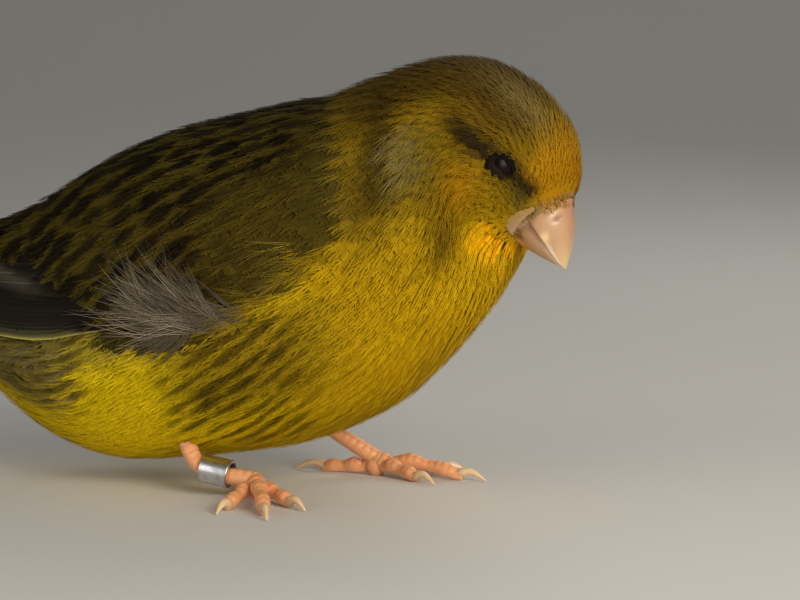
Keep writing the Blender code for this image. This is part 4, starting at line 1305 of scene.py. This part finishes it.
class CANARY_OT_wings(Piece):
    """Makes the folded wings' flight feathers"""

    bl_idname = "canary.wings"
    bl_label = "Wings"

    def execute(self, context):
        flight = context.scene.canary_flight
        finish = feather_finish("flight_web", rough=0.5, period=120.0, depth=0.00004, gloss=0.09, mottle=0.12)
        vanes = [vane_template(seed) for seed in range(4)]
        for name, side in SIDES.items():
            sheet, draw, rows = wing_sheet(side), np.random.default_rng(5), []
            for ends, edge, grey in WING_ROWS:
                share = np.linspace(0.0, 1.0, len(edge))
                x, v, tip_x, tip_v, width, low, rise = (a + (b - a) * share for a, b in ends)
                # The slant that brings the feather from its root to its tip over the sheet.
                start, end, level = sheet(x, v), sheet(tip_x, tip_v), sheet(tip_x, v)
                length = np.linalg.norm(end - start, axis=-1)
                drop = np.sign(v - tip_v) * np.linalg.norm(end - level, axis=-1)
                row = Feathers(
                    x,
                    v,
                    side,
                    length=length,
                    width=width,
                    slant=np.arcsin(np.clip(drop / length, -0.9, 0.9)),
                    low=low,
                    rise=rise,
                    crown=0.15,
                    colour=np.array(flight.web) * (1 + draw.uniform(-0.1, 0.15, len(x)))[:, None],
                    root_colour=flight.web,
                    edge=edge,
                    edge_colour=mixed(flight.edge, linear(112, 106, 86), grey),
                    shaft_colour=flight.shaft,
                )
                rows.append(vars(row))
            wing = Feathers(**{key: np.concatenate([row[key] for row in rows]) for key in rows[0]})
            more = {"stations": 11, "slot": "flight_feathers", "nodes": ("wing_" + name,)}
            more["marks"], more["orient"] = wing_sheen, side
            coat_piece(f"flight_feathers_{name}", sheet, wing, vanes, finish, unwrap_wing, **more)
        return {"FINISHED"}


class CANARY_OT_plumes(Piece):
    """Makes the loose grey plumes that fold up from the flanks over the wings, and pale wisps and hairs"""

    bl_idname = "canary.plumes"
    bl_label = "Flank plumes"

    def execute(self, context):
        flight = context.scene.canary_flight
        finish = feather_finish("plume_soft", rough=0.6, mottle=0.1)
        strands = [strand_template(seed) for seed in range(8)]
        downy = tufts(80, 3, barbs=70, rows=3, web_end=0.16, run=(0.3, 0.6), wide=0.3, thin=0.006, loose=0.05)
        for name, side in SIDES.items():
            draw = np.random.default_rng(21)
            few = lambda low, high: draw.uniform(low, high, count)

            def lay(label, place, up, **values):
                feathers = Feathers(place, side_angle(up, side), side, crown=0.05, **values)
                coat_piece(f"{label}_{name}", body, feathers, strands, finish, unwrap_body)
                return feathers

            count = 46
            place, up = draw.normal(6.0, 0.30, count), draw.normal(-13.5, 2.2, count)
            slant = -0.10 - 1.05 * few(0.0, 1.0) ** 1.1
            length = flight.plume_length / MM * few(0.65, 1.12) * (1.0 - 0.12 * np.abs(slant))
            grey = np.array(flight.plume) * few(0.25, 1.2)[:, None]
            bend = 0.35 * slant + few(-0.2, 0.2)
            shape = {"length": length, "width": length * 0.30, "slant": slant, "bend": bend}
            colours = {"colour": grey, "root_colour": grey * 0.6}
            rise = 1.30 + few(-0.4, 0.4)
            plumes = lay("plumes", place, up, low=-0.2, rise=rise, arch=0.6, **shape, **colours)
            some = plumes.kept(np.arange(0, count, 2))
            some.width, some.rise, some.length = some.length * 0.45, some.rise - 0.35, some.length * 0.8
            some.colour = some.root_colour = linear(80, 71, 56) + 0 * some.colour
            coat_piece(f"plume_down_{name}", body, some, downy, finish, unwrap_body)
            count = 34
            share = few(0, 1)
            place, up = 8.2 - 1.6 * share, 2.0 - 19.0 * share + draw.normal(0, 2.2, count)
            length = few(4.5, 8.5)
            pale = mixed(linear(92, 76, 12), linear(144, 124, 48), few(0.0, 0.9))
            shape = {"length": length, "width": length * 0.42, "slant": -0.12 + few(-0.25, 0.25), "bend": 0.2}
            colours = {"colour": pale, "root_colour": linear(150, 120, 8)}
            lay("wisps", place, up, low=-0.4, rise=1.05 + few(-0.3, 0.3), arch=0.7, **shape, **colours)
            for label, count, places, ups, tone, long, slant in HAIRS:
                place, up = few(*places), few(*ups)
                tone = linear(*tone) * few(0.5, 1.1)[:, None]
                shape = {"length": long * few(0.7, 1.2), "width": long * 0.34, "bend": 0.1}
                shape["slant"] = slant + few(-0.15, 0.15)
                colours = {"colour": tone, "root_colour": tone * 0.6}
                rise = 0.62 + few(-0.15, 0.1)
                lay(f"hairs_{label}", place, up, low=-0.35, rise=rise, arch=0.6, **shape, **colours)
        return {"FINISHED"}


class CANARY_OT_tail(Piece):
    """Makes the twelve tail feathers and the coverts over and under their roots"""

    bl_idname = "canary.tail"
    bl_label = "Tail"

    def execute(self, context):
        coat, flight = context.scene.canary_coat, context.scene.canary_flight
        finish = feather_finish("tail_web", rough=0.5, period=120.0, depth=0.00004, gloss=0.14, mottle=0.12)
        vanes = [vane_template(70 + seed, rows=18, outer=0.62, blunt=0.88) for seed in range(3)]
        pair, side = np.repeat(np.arange(TAIL_PAIRS), 2), np.tile([1.0, -1.0], TAIL_PAIRS)
        spread = (pair + 0.5) / TAIL_PAIRS
        root, tip = side * spread * 2.6, side * spread * TAIL_HALF_WIDTH * 0.86
        run = TAIL_LENGTH - TAIL_FORK * (1 - spread) ** 1.3 - 5.0
        feathers = Feathers(
            np.full(2 * TAIL_PAIRS, -5.0),
            root,
            side,
            length=np.hypot(run, tip - root),
            width=5.6,
            slant=np.arctan2(np.abs(tip - root), run),
            low=0.55 - 0.16 * pair + 0.05 * side,
            rise=0.35 - 0.13 * pair,
            crown=0.12,
            colour=flight.web,
            root_colour=flight.web,
            edge=0.8,
            edge_colour=linear(112, 100, 44),
            shaft_colour=flight.shaft,
        )
        more = {"orient": -1.0, "stations": 9, "slot": "flight_feathers", "nodes": ("tail",)}
        coat_piece("tail_feathers", tail_sheet, feathers, vanes, finish, unwrap_tail, **more)
        soft, finish = tufts(60, 4, barbs=26, rows=6, web_end=0.86), feather_finish("plumage_soft")
        draw = np.random.default_rng(31)
        kinds = ("over", -1.0, 4.0, np.array(coat.rump)), ("under", 1.0, 3.6, linear(150, 134, 72))
        for label, orient, deep, tone in kinds:
            count = 60
            run, across = draw.uniform(-8.5, 1.5, count), draw.uniform(-1, 1, count)
            ease = np.clip((1.0 - run) / 13.0, 0, 1)
            feathers = Feathers(
                run,
                across * (4.3 + 0.20 * run),
                np.sign(across),
                length=7.5,
                width=4.6,
                slant=0.0,
                low=deep * (1 - ease) * np.sqrt(1 - 0.8 * across**2) - 0.6,
                rise=-1.2,
                crown=0.3,
                colour=tone * draw.uniform(0.85, 1.1, count)[:, None],
                root_colour=tone * 0.6,
                streak=0.25,
                streak_colour=coat.streak,
                edge=0.2,
                edge_colour=linear(170, 150, 60),
            )
            name = f"tail_coverts_{label}"
            coat_piece(name, tail_sheet, feathers, soft, finish, unwrap_tail, orient=orient)
        return {"FINISHED"}


def dome(centre, axes, radius, polar, turn):
    """A ball: the sine of polar times a turn in the last two axes, plus its cosine times the first."""
    a, b, c = axes
    return centre + radius * (np.sin(polar) * (b * np.cos(turn) + c * np.sin(turn)) + np.cos(polar) * a)


def circle(count):
    """Equal turns once round, along the last but one axis."""
    return np.linspace(0, TURN, count, endpoint=False)[None, :, None]


class CANARY_OT_eyes(Piece):
    """Makes the eyes and the lids round them"""

    bl_idname = "canary.eyes"
    bl_label = "Eyes"

    def execute(self, context):
        face = context.scene.canary_face
        glossy = Paint("eye", Roughness=0.28, Coat_Weight=0.01, Coat_Roughness=0.2, Specular_IOR_Level=0.08)
        glossy.put("Base Color", glossy.blend(face.eye, (0.002, 0.0015, 0.001), glossy.noise(700.0, 3.0)))
        grain = {"Roughness": 0.85, "Specular_IOR_Level": 0.08}
        lid = grained("lid_skin", 2600.0, 4.0, 0.6, (0.7, 0.6), 0.00012, 0.7, **grain)
        turn = circle(64)
        for name, side in SIDES.items():
            centre, out = eye_frame(side)
            first, _ = eye_axes(side)
            axes = (out, first, np.cross(out, first))
            tilt = np.linspace(0.02, math.pi - 0.02, 40)[:, None, None]
            points, faces, _ = tube_part(dome(centre, axes, EYE_RADIUS, tilt, turn)[::-1], 0.0)
            make_piece("eyeball_" + name, points, faces, glossy.material, "eye", nodes=("eye_" + name,))
            # The lid: a band from the rim of an oval opening out under the feathers, swollen in the middle.
            share = np.linspace(0.0, 1.0, 14)[:, None, None]
            opening = 0.42 + 0.19 * np.cos(2 * turn)
            ripple = 0.02 * np.sin(turn * 26) * share * (1 - share) * 4
            swell = 0.05 + 0.16 * np.sin(share * math.pi) ** 0.8 + ripple
            ring = dome(centre, axes, EYE_RADIUS + swell, opening + (1.22 - opening) * share, turn)
            under = smooth(0.3, -0.6, (axes[2] * np.sin(turn))[..., 2]) * (1 - 0.5 * share[..., 0])
            tint = mixed(linear(14, 9, 5), face.lid, under)
            make_piece("lid_" + name, ring, [grid_faces(14, 64)[:, ::-1]], lid, "plumage", tint=tint)
        return {"FINISHED"}


def bill_profile(along, sign):
    """Edge of the closed bill at a share of its length: the ridge (+1) or the keel of the chin (-1)."""
    base = np.array(RIDGE_BASE if sign > 0 else CHIN_BASE)
    along = np.asarray(along, float)[..., None]
    outward = np.array([1.0, 0.12]) if sign > 0 else np.array([-0.3, -1.0])
    bulge = 0.95 * np.maximum(along, 0.0) ** 0.8 * (1 - along) if sign > 0 else 0.55 * along * (1 - along)
    return base + (np.array(BILL_TIP) - base) * along + outward * bulge * 1.9


class CANARY_OT_bill(Piece):
    """Makes the two halves of the bill and its bare root"""

    bl_idname = "canary.bill"
    bl_label = "Bill"

    def execute(self, context):
        face, coat = context.scene.canary_face, context.scene.canary_coat
        skin = {"Roughness": 0.34, "Coat_Weight": 0.25, "Coat_Roughness": 0.25}
        skin.update(Subsurface_Weight=0.12, Subsurface_Scale=0.0008)
        horn = grained("bill_horn", 500.0, 4.0, 0.6, (0.82, 0.35), 0.00006, 0.5, (1.0, 1.0, 0.25), **skin)
        short = 1.0 - BILL_LOWER_SHORT / BILL_LENGTH
        for label, sign, reach in (("upper", 1.0, 1.0), ("lower", -1.0, short)):
            upper = float(sign > 0)
            along = (np.linspace(-0.10, 0.992, 56) * reach)[:, None]
            turn = np.linspace(0.0, math.pi, 41)[None, :]
            inside = np.maximum(along, 0.0)
            ridge, keel = bill_profile(along, 1.0), bill_profile(along, -1.0)
            split = (0.46 - 0.10 * inside + 0.05 * np.sin(inside * math.pi))[..., None]
            meet = keel + (ridge - keel) * split
            rise = (ridge if sign > 0 else keel) - meet
            size = np.linalg.norm(rise, axis=-1)
            rise = rise / size[..., None]
            half = BILL_HALF_WIDTH * (1.0 - inside**1.45) ** 0.8 * (1.0 if sign > 0 else 0.88)
            across = half * np.sign(np.cos(turn)) * np.abs(np.cos(turn)) ** 0.9
            nostril = upper * bump(0.14, 0.045, along) * bump(0.0, 0.16, np.abs(np.cos(turn)) - 0.62)
            high = np.maximum(size - BILL_GAP / 2, 0.12) * np.abs(np.sin(turn)) ** 0.95 - 0.25 * nostril
            flat = meet + rise * 0.03
            rings = head_point(flat[..., 0] + rise[..., 0] * high, flat[..., 1] + rise[..., 1] * high, across)
            # Darker along the ridge and in the nostril, paler on the cutting edge and in a drop on the side.
            share, steep = inside + 0 * turn, np.sin(turn)
            tint = layered(
                face.horn,
                (face.horn_tip, smooth(0.45, 1.0, share)),
                (linear(176, 122, 96), 0.7 * upper * smooth(0.86, 1.0, steep) * smooth(0.75, 0.0, share)),
                (linear(250, 226, 196), 0.7 * smooth(0.30, 0.06, steep) * smooth(0.2, 0.6, share)),
                (linear(120, 80, 62), 0.6 * np.clip(nostril, 0, 1)),
                (linear(246, 210, 160), 0.75 * upper * bump(0.30, 0.09, share) * smooth(0.42, 0.15, steep)),
            )
            points, faces, tint = tube_part(rings, tint)
            if sign < 0:
                faces = [group[:, ::-1] for group in faces]
            name, nodes = f"bill_{label}_horn", ("bill_" + label,)
            make_piece(name, points, faces, horn, "bill_horn", tint=tint, nodes=nodes)
        # The bare root: the head's own surface, raised a little inside the coat's edge and sunk outside it.
        place, up = np.meshgrid(np.linspace(14.2, 16.95, 56), np.linspace(-89.0, 90.0, 84), indexing="ij")
        gape = gape_line(up)
        for name, side in SIDES.items():
            angle = side_angle(up, side)
            point, out, _, _ = surface_frame(body, place, angle)
            inside = smooth(gape - 0.35, gape, place) * smooth(16.5, 15.5, place)
            tint = mixed(linear(178, 134, 100), face.horn, smooth(14.9, 16.2, place))
            tint = mixed(markings(place, angle, coat)[0], tint, smooth(gape - 0.1, gape + 0.35, place))
            points = point + out * (1.12 * inside - 0.95)[..., None]
            faces, lean = [grid_faces(*place.shape, False)], out.reshape(-1, 3)
            make_piece("bill_root_" + name, points, faces, horn, "bill_horn", tint=tint, lean=lean)
        return {"FINISHED"}


def path_rings(points, radii, around):
    """Rings of points round a path; whatever is lower than the floor is pressed onto it."""
    heading = unit(np.gradient(points, axis=0))
    left = unit(np.cross([0.0, 0.0, 1.0], heading))
    up, turn = np.cross(heading, left)[:, None], circle(around)
    radii = radii.reshape(len(points), -1, 1)
    rings = points[:, None] + radii * (left[:, None] * np.cos(turn) + up * np.sin(turn))
    rings[..., 2] = np.maximum(rings[..., 2], 0.0)
    return rings


class CANARY_OT_legs(Piece):
    """Makes the legs with their scutes, the toes with their pads, and the claws"""

    bl_idname = "canary.legs"
    bl_label = "Legs"

    def execute(self, context):
        legs = context.scene.canary_legs
        soft = {"Roughness": 0.42, "Coat_Weight": 0.2, "Coat_Roughness": 0.3}
        soft.update(Subsurface_Weight=0.2, Subsurface_Scale=0.0006)
        hard = {"Roughness": 0.3, "Coat_Weight": 0.3, "Coat_Roughness": 0.2}
        hard.update(Subsurface_Weight=0.15, Subsurface_Scale=0.0005)
        paint = grained("leg_skin", 1800.0, 4.0, 0.6, (0.78, 0.45), 0.00008, 0.6, **soft)
        horn = grained("claw_horn", 900.0, 2.0, 0.5, (0.85, 0.3), **hard)
        skin = np.array(legs.skin)
        for name, plan in LEGS.items():
            foot = np.array(plan["line"][-1])
            t = np.linspace(0.0, 1.0, 90)
            path = spline(plan["line"], t * 2)
            saw = ((np.cumsum(np.linalg.norm(np.gradient(path, axis=0), axis=-1)) / 1.05) % 1.0)[:, None]
            front = np.clip(0.4 + np.sin(circle(28)[..., 0]), 0, 1)
            radii = np.interp(t, (0.0, 0.5, 1.0), TARSUS_RADII)[:, None]
            radii = radii * (1.0 + 0.09 * (smooth(0.0, 0.25, saw) - saw) * front)
            joint = 0.5 * (smooth(0.12, 0.0, saw) + smooth(0.9, 1.0, saw)) * front
            parts = [tube_part(path_rings(path, radii, 28), mixed(skin, linear(176, 96, 72), joint), skin)]
            claws = []
            for toe in TOES:
                toe_part, claw_part = self.toe(plan, SIDES[name], foot, skin, np.array(legs.claw), *toe)
                parts.append(toe_part)
                claws.append(claw_part)
            tilt = np.linspace(0.05, math.pi - 0.05, 24)[:, None, None]
            pad = dome([*foot[:2], 1.25], np.roll(np.eye(3), 1, 0), 1.5, tilt, circle(32))
            pad[..., 2] = np.maximum(pad[..., 2], 0.0)
            parts.append(tube_part(pad[::-1], skin))
            points, faces, tint = joined(parts)
            nodes = ("leg_" + name,)
            make_piece("leg_skin_" + name, points, faces, paint, "leg_skin", tint=tint, nodes=nodes)
            points, faces, tint = joined(claws)
            make_piece("claws_" + name, points, faces, horn, "leg_skin", tint=tint)
        return {"FINISHED"}

    def toe(self, plan, side, foot, skin, horn, angle, length, claw, thick, arch):
        """One toe and its claw, as two tubes."""
        heading = math.radians(plan["hind"] if angle is None else plan["heading"] - side * angle)
        direction = np.array([math.cos(heading), math.sin(heading), 0.0])
        along = np.linspace(0.0, 1.0, 80)
        radius = thick * (1.06 - 0.34 * along + 0.12 * np.cos(along * math.pi * 5.0))
        path = foot * [1.0, 1.0, 0.0] + direction * (length * along)[:, None]
        knuckle = 0.9 * np.exp(-((along / 0.16) ** 2))
        path[:, 2] = radius * 0.8 + knuckle + arch * np.sin(along**0.85 * math.pi) ** 1.2
        saw = ((along * length / 0.95) % 1.0)[:, None]
        steep = np.sin(circle(26)[..., 0])
        top, below = smooth(0.1, 0.5, steep), smooth(-0.1, -0.7, steep)
        wrinkle = np.sin(along * length * 14.0)[:, None] * below
        full = radius[:, None] * (1.0 + 0.10 * (smooth(0.0, 0.25, saw) - saw) * top + 0.02 * wrinkle)
        tip = np.sqrt(np.clip(1 - ((along - 0.93) / 0.085) ** 2, 0.05, 1))
        full = full * np.where(along > 0.93, tip, 1.0)[:, None]
        joint = 0.55 * (smooth(0.15, 0.0, saw) + smooth(0.88, 1.0, saw)) * top
        tint = layered(skin, (linear(170, 92, 70), joint), (linear(236, 176, 132), 0.7 * below))
        share = np.linspace(0.0, 1.0, 30)
        root = path[-6]
        hook = root + direction * (claw * 0.84 * share)[:, None]
        hook[:, 2] = root[2] * (1 - share**2) + 0.9 * np.sin(share * math.pi * 0.9) * (1 - 0.6 * share) + 0.02
        claw_tint = mixed(horn, linear(150, 104, 76), smooth(0.3, 0.0, share) * 0.5)[:, None]
        rings = path_rings(hook, 0.62 * (1 - share) ** 0.7 + 0.05, 16)
        return tube_part(path_rings(path, full, 26), tint, skin), tube_part(rings, claw_tint)


class CANARY_OT_ring(Piece):
    """Makes the plain metal ring on the right leg"""

    bl_idname = "canary.ring"
    bl_label = "Leg ring"

    def execute(self, context):
        metal = context.scene.canary_legs.metal
        paint = Paint("ring_metal", Metallic=1.0, Roughness=0.3)
        worn = paint.noise(900.0, 4.0, 0.6)
        paint.put("Base Color", paint.blend(metal, [c * 0.6 for c in metal], worn.between(0.45, 0.8)))
        paint.put("Roughness", worn * 0.35 + 0.14)
        paint.rise(paint.noise(4000.0, 2.0), 0.00001, 0.4)
        bend, foot = np.array(LEGS["right"]["line"][1:])
        direction = unit(bend - foot)
        left = unit(np.cross(direction, [0.0, 0.0, 1.0]))
        outer, corner, steps = RING_BORE + RING_WALL, np.linspace(0, math.pi / 2, 6), 96
        profile = []
        # The four rounded corners of the wall: end, radius, side of the wall, and the sweep's sense.
        corners = (1, outer, 1, -1), (1, RING_BORE, -1, 1), (-1, RING_BORE, -1, -1), (-1, outer, 1, 1)
        for end, radius, toward, sense in corners:
            sweep = corner[::sense]
            along = end * (RING_LENGTH / 2 - RING_ROUND + RING_ROUND * np.cos(sweep))
            reach = radius - toward * RING_ROUND + toward * RING_ROUND * np.sin(sweep)
            profile.append(np.stack([along, reach], -1))
        profile = np.vstack(profile)
        turn = circle(steps).reshape(-1, 1, 1)
        around = left * np.cos(turn) + np.cross(direction, left) * np.sin(turn)
        points = foot + direction * RING_FROM_FOOT + direction * profile[:, :1] + around * profile[:, 1:]
        faces = grid_faces(steps + 1, len(profile)) % (steps * len(profile))
        make_piece("ring_band", points, [faces], paint.material, "ring_metal", nodes=("leg_ring",))
        return {"FINISHED"}


class CANARY_OT_studio(Piece):
    """Makes the floor, the lights and the camera"""

    bl_idname = "canary.studio"
    bl_label = "Studio"

    def execute(self, context):
        scene = context.scene
        studio = scene.canary_studio
        # A floor that turns up into a backdrop far behind.
        run = np.linspace(0.03, 1.0, 40) * math.pi / 2
        y = np.concatenate([np.linspace(-1.6, 0.3, 31), 0.3 + 1.2 * np.sin(run), [1.501]])[:, None]
        z = np.concatenate([np.zeros(31), 1.2 - 1.2 * np.cos(run), [3.0]])[:, None]
        points = np.stack(np.broadcast_arrays(np.linspace(-2.4, 2.4, 24), y, z), -1)
        quads = grid_faces(*points.shape[:2], closed=False)[:, ::-1]
        mesh = bpy.data.meshes.new("studio_floor")
        mesh.from_pydata(points.reshape(-1, 3).tolist(), [], quads.tolist())
        mesh.shade_smooth()
        floor = bpy.data.objects.new("studio_floor", mesh)
        paint = Paint("studio_floor", Roughness=0.7)
        paint.put("Base Color", paint.shade(studio.floor, paint.noise(8.0, 2.0) * 0.04 + 0.98))
        mesh.materials.append(paint.material)
        scene.collection.objects.link(floor)
        world = bpy.data.worlds.new("studio_world")
        world.use_nodes = True
        sockets = world.node_tree.nodes["Background"].inputs
        sockets[0].default_value, sockets[1].default_value = SKY, SKY_POWER
        scene.world = world
        for name, (at, aim, size, power, colour) in LIGHTS.items():
            data = bpy.data.lights.new(name, "AREA")
            data.size, data.energy, data.color = size, power * getattr(studio, name, 1.0), colour
            lamp = bpy.data.objects.new(name, data)
            lamp.location = at
            lamp.rotation_euler = (Vector(at) - Vector(aim)).to_track_quat("Z", "Y").to_euler()
            scene.collection.objects.link(lamp)
        data = bpy.data.cameras.new("camera")
        data.sensor_width, data.lens = SENSOR, SENSOR * FOCAL / IMAGE_WIDTH
        data.clip_start, data.clip_end = 0.01, 20.0
        camera = bpy.data.objects.new("camera", data)
        down = math.atan2(LEVEL_ABOVE_MIDDLE, FOCAL)
        level = Vector((-math.sin(CAMERA_YAW), math.cos(CAMERA_YAW), 0.0))
        ahead = level * math.cos(down) + Vector((0.0, 0.0, -math.sin(down)))
        right = Vector((math.cos(CAMERA_YAW), math.sin(CAMERA_YAW), 0.0))
        columns = (right, right.cross(ahead), -ahead, (np.array(CAMERA_AT) - ORIGIN) * MM)
        camera.matrix_world = Matrix((*zip(*columns), (0.0, 0.0, 0.0, 1.0)))
        scene.collection.objects.link(camera)
        scene.camera = camera
        scene.view_settings.view_transform = "Standard"
        return {"FINISHED"}


class CANARY_PT_panel(bpy.types.Panel):
    """The canary's settings and pieces"""

    bl_label = "Canary"
    bl_idname = "CANARY_PT_panel"
    bl_space_type = "VIEW_3D"
    bl_region_type = "UI"
    bl_category = "Canary"

    def draw(self, context):
        for operator in OPERATORS:
            self.layout.operator(operator.bl_idname)
        for label, group in GROUPS.items():
            settings = getattr(context.scene, label)
            box = self.layout.box()
            for key in group.__annotations__:
                box.prop(settings, key)


GROUPS = {
    "canary_coat": CanaryCoat,
    "canary_flight": CanaryFlight,
    "canary_face": CanaryFace,
    "canary_legs": CanaryLegs,
    "canary_studio": CanaryStudio,
}
OPERATORS = (
    CANARY_OT_studio,
    CANARY_OT_skin,
    CANARY_OT_coat,
    CANARY_OT_streaks,
    CANARY_OT_wings,
    CANARY_OT_plumes,
    CANARY_OT_tail,
    CANARY_OT_eyes,
    CANARY_OT_bill,
    CANARY_OT_legs,
    CANARY_OT_ring,
)


def register():
    """Registers the settings, the operators and the panel."""
    for group in GROUPS.values():
        bpy.utils.register_class(group)
    for operator in (*OPERATORS, CANARY_PT_panel):
        bpy.utils.register_class(operator)
    for label, group in GROUPS.items():
        setattr(bpy.types.Scene, label, bpy.props.PointerProperty(type=group))


def unregister():
    """Takes them away again."""
    for label in GROUPS:
        delattr(bpy.types.Scene, label)
    for thing in (CANARY_PT_panel, *reversed(OPERATORS), *reversed(list(GROUPS.values()))):
        bpy.utils.unregister_class(thing)


def main():
    """Makes the whole bird and its studio."""
    register()
    for operator in OPERATORS:
        group, name = operator.bl_idname.split(".")
        getattr(getattr(bpy.ops, group), name)()


if __name__ == "__main__":
    main()
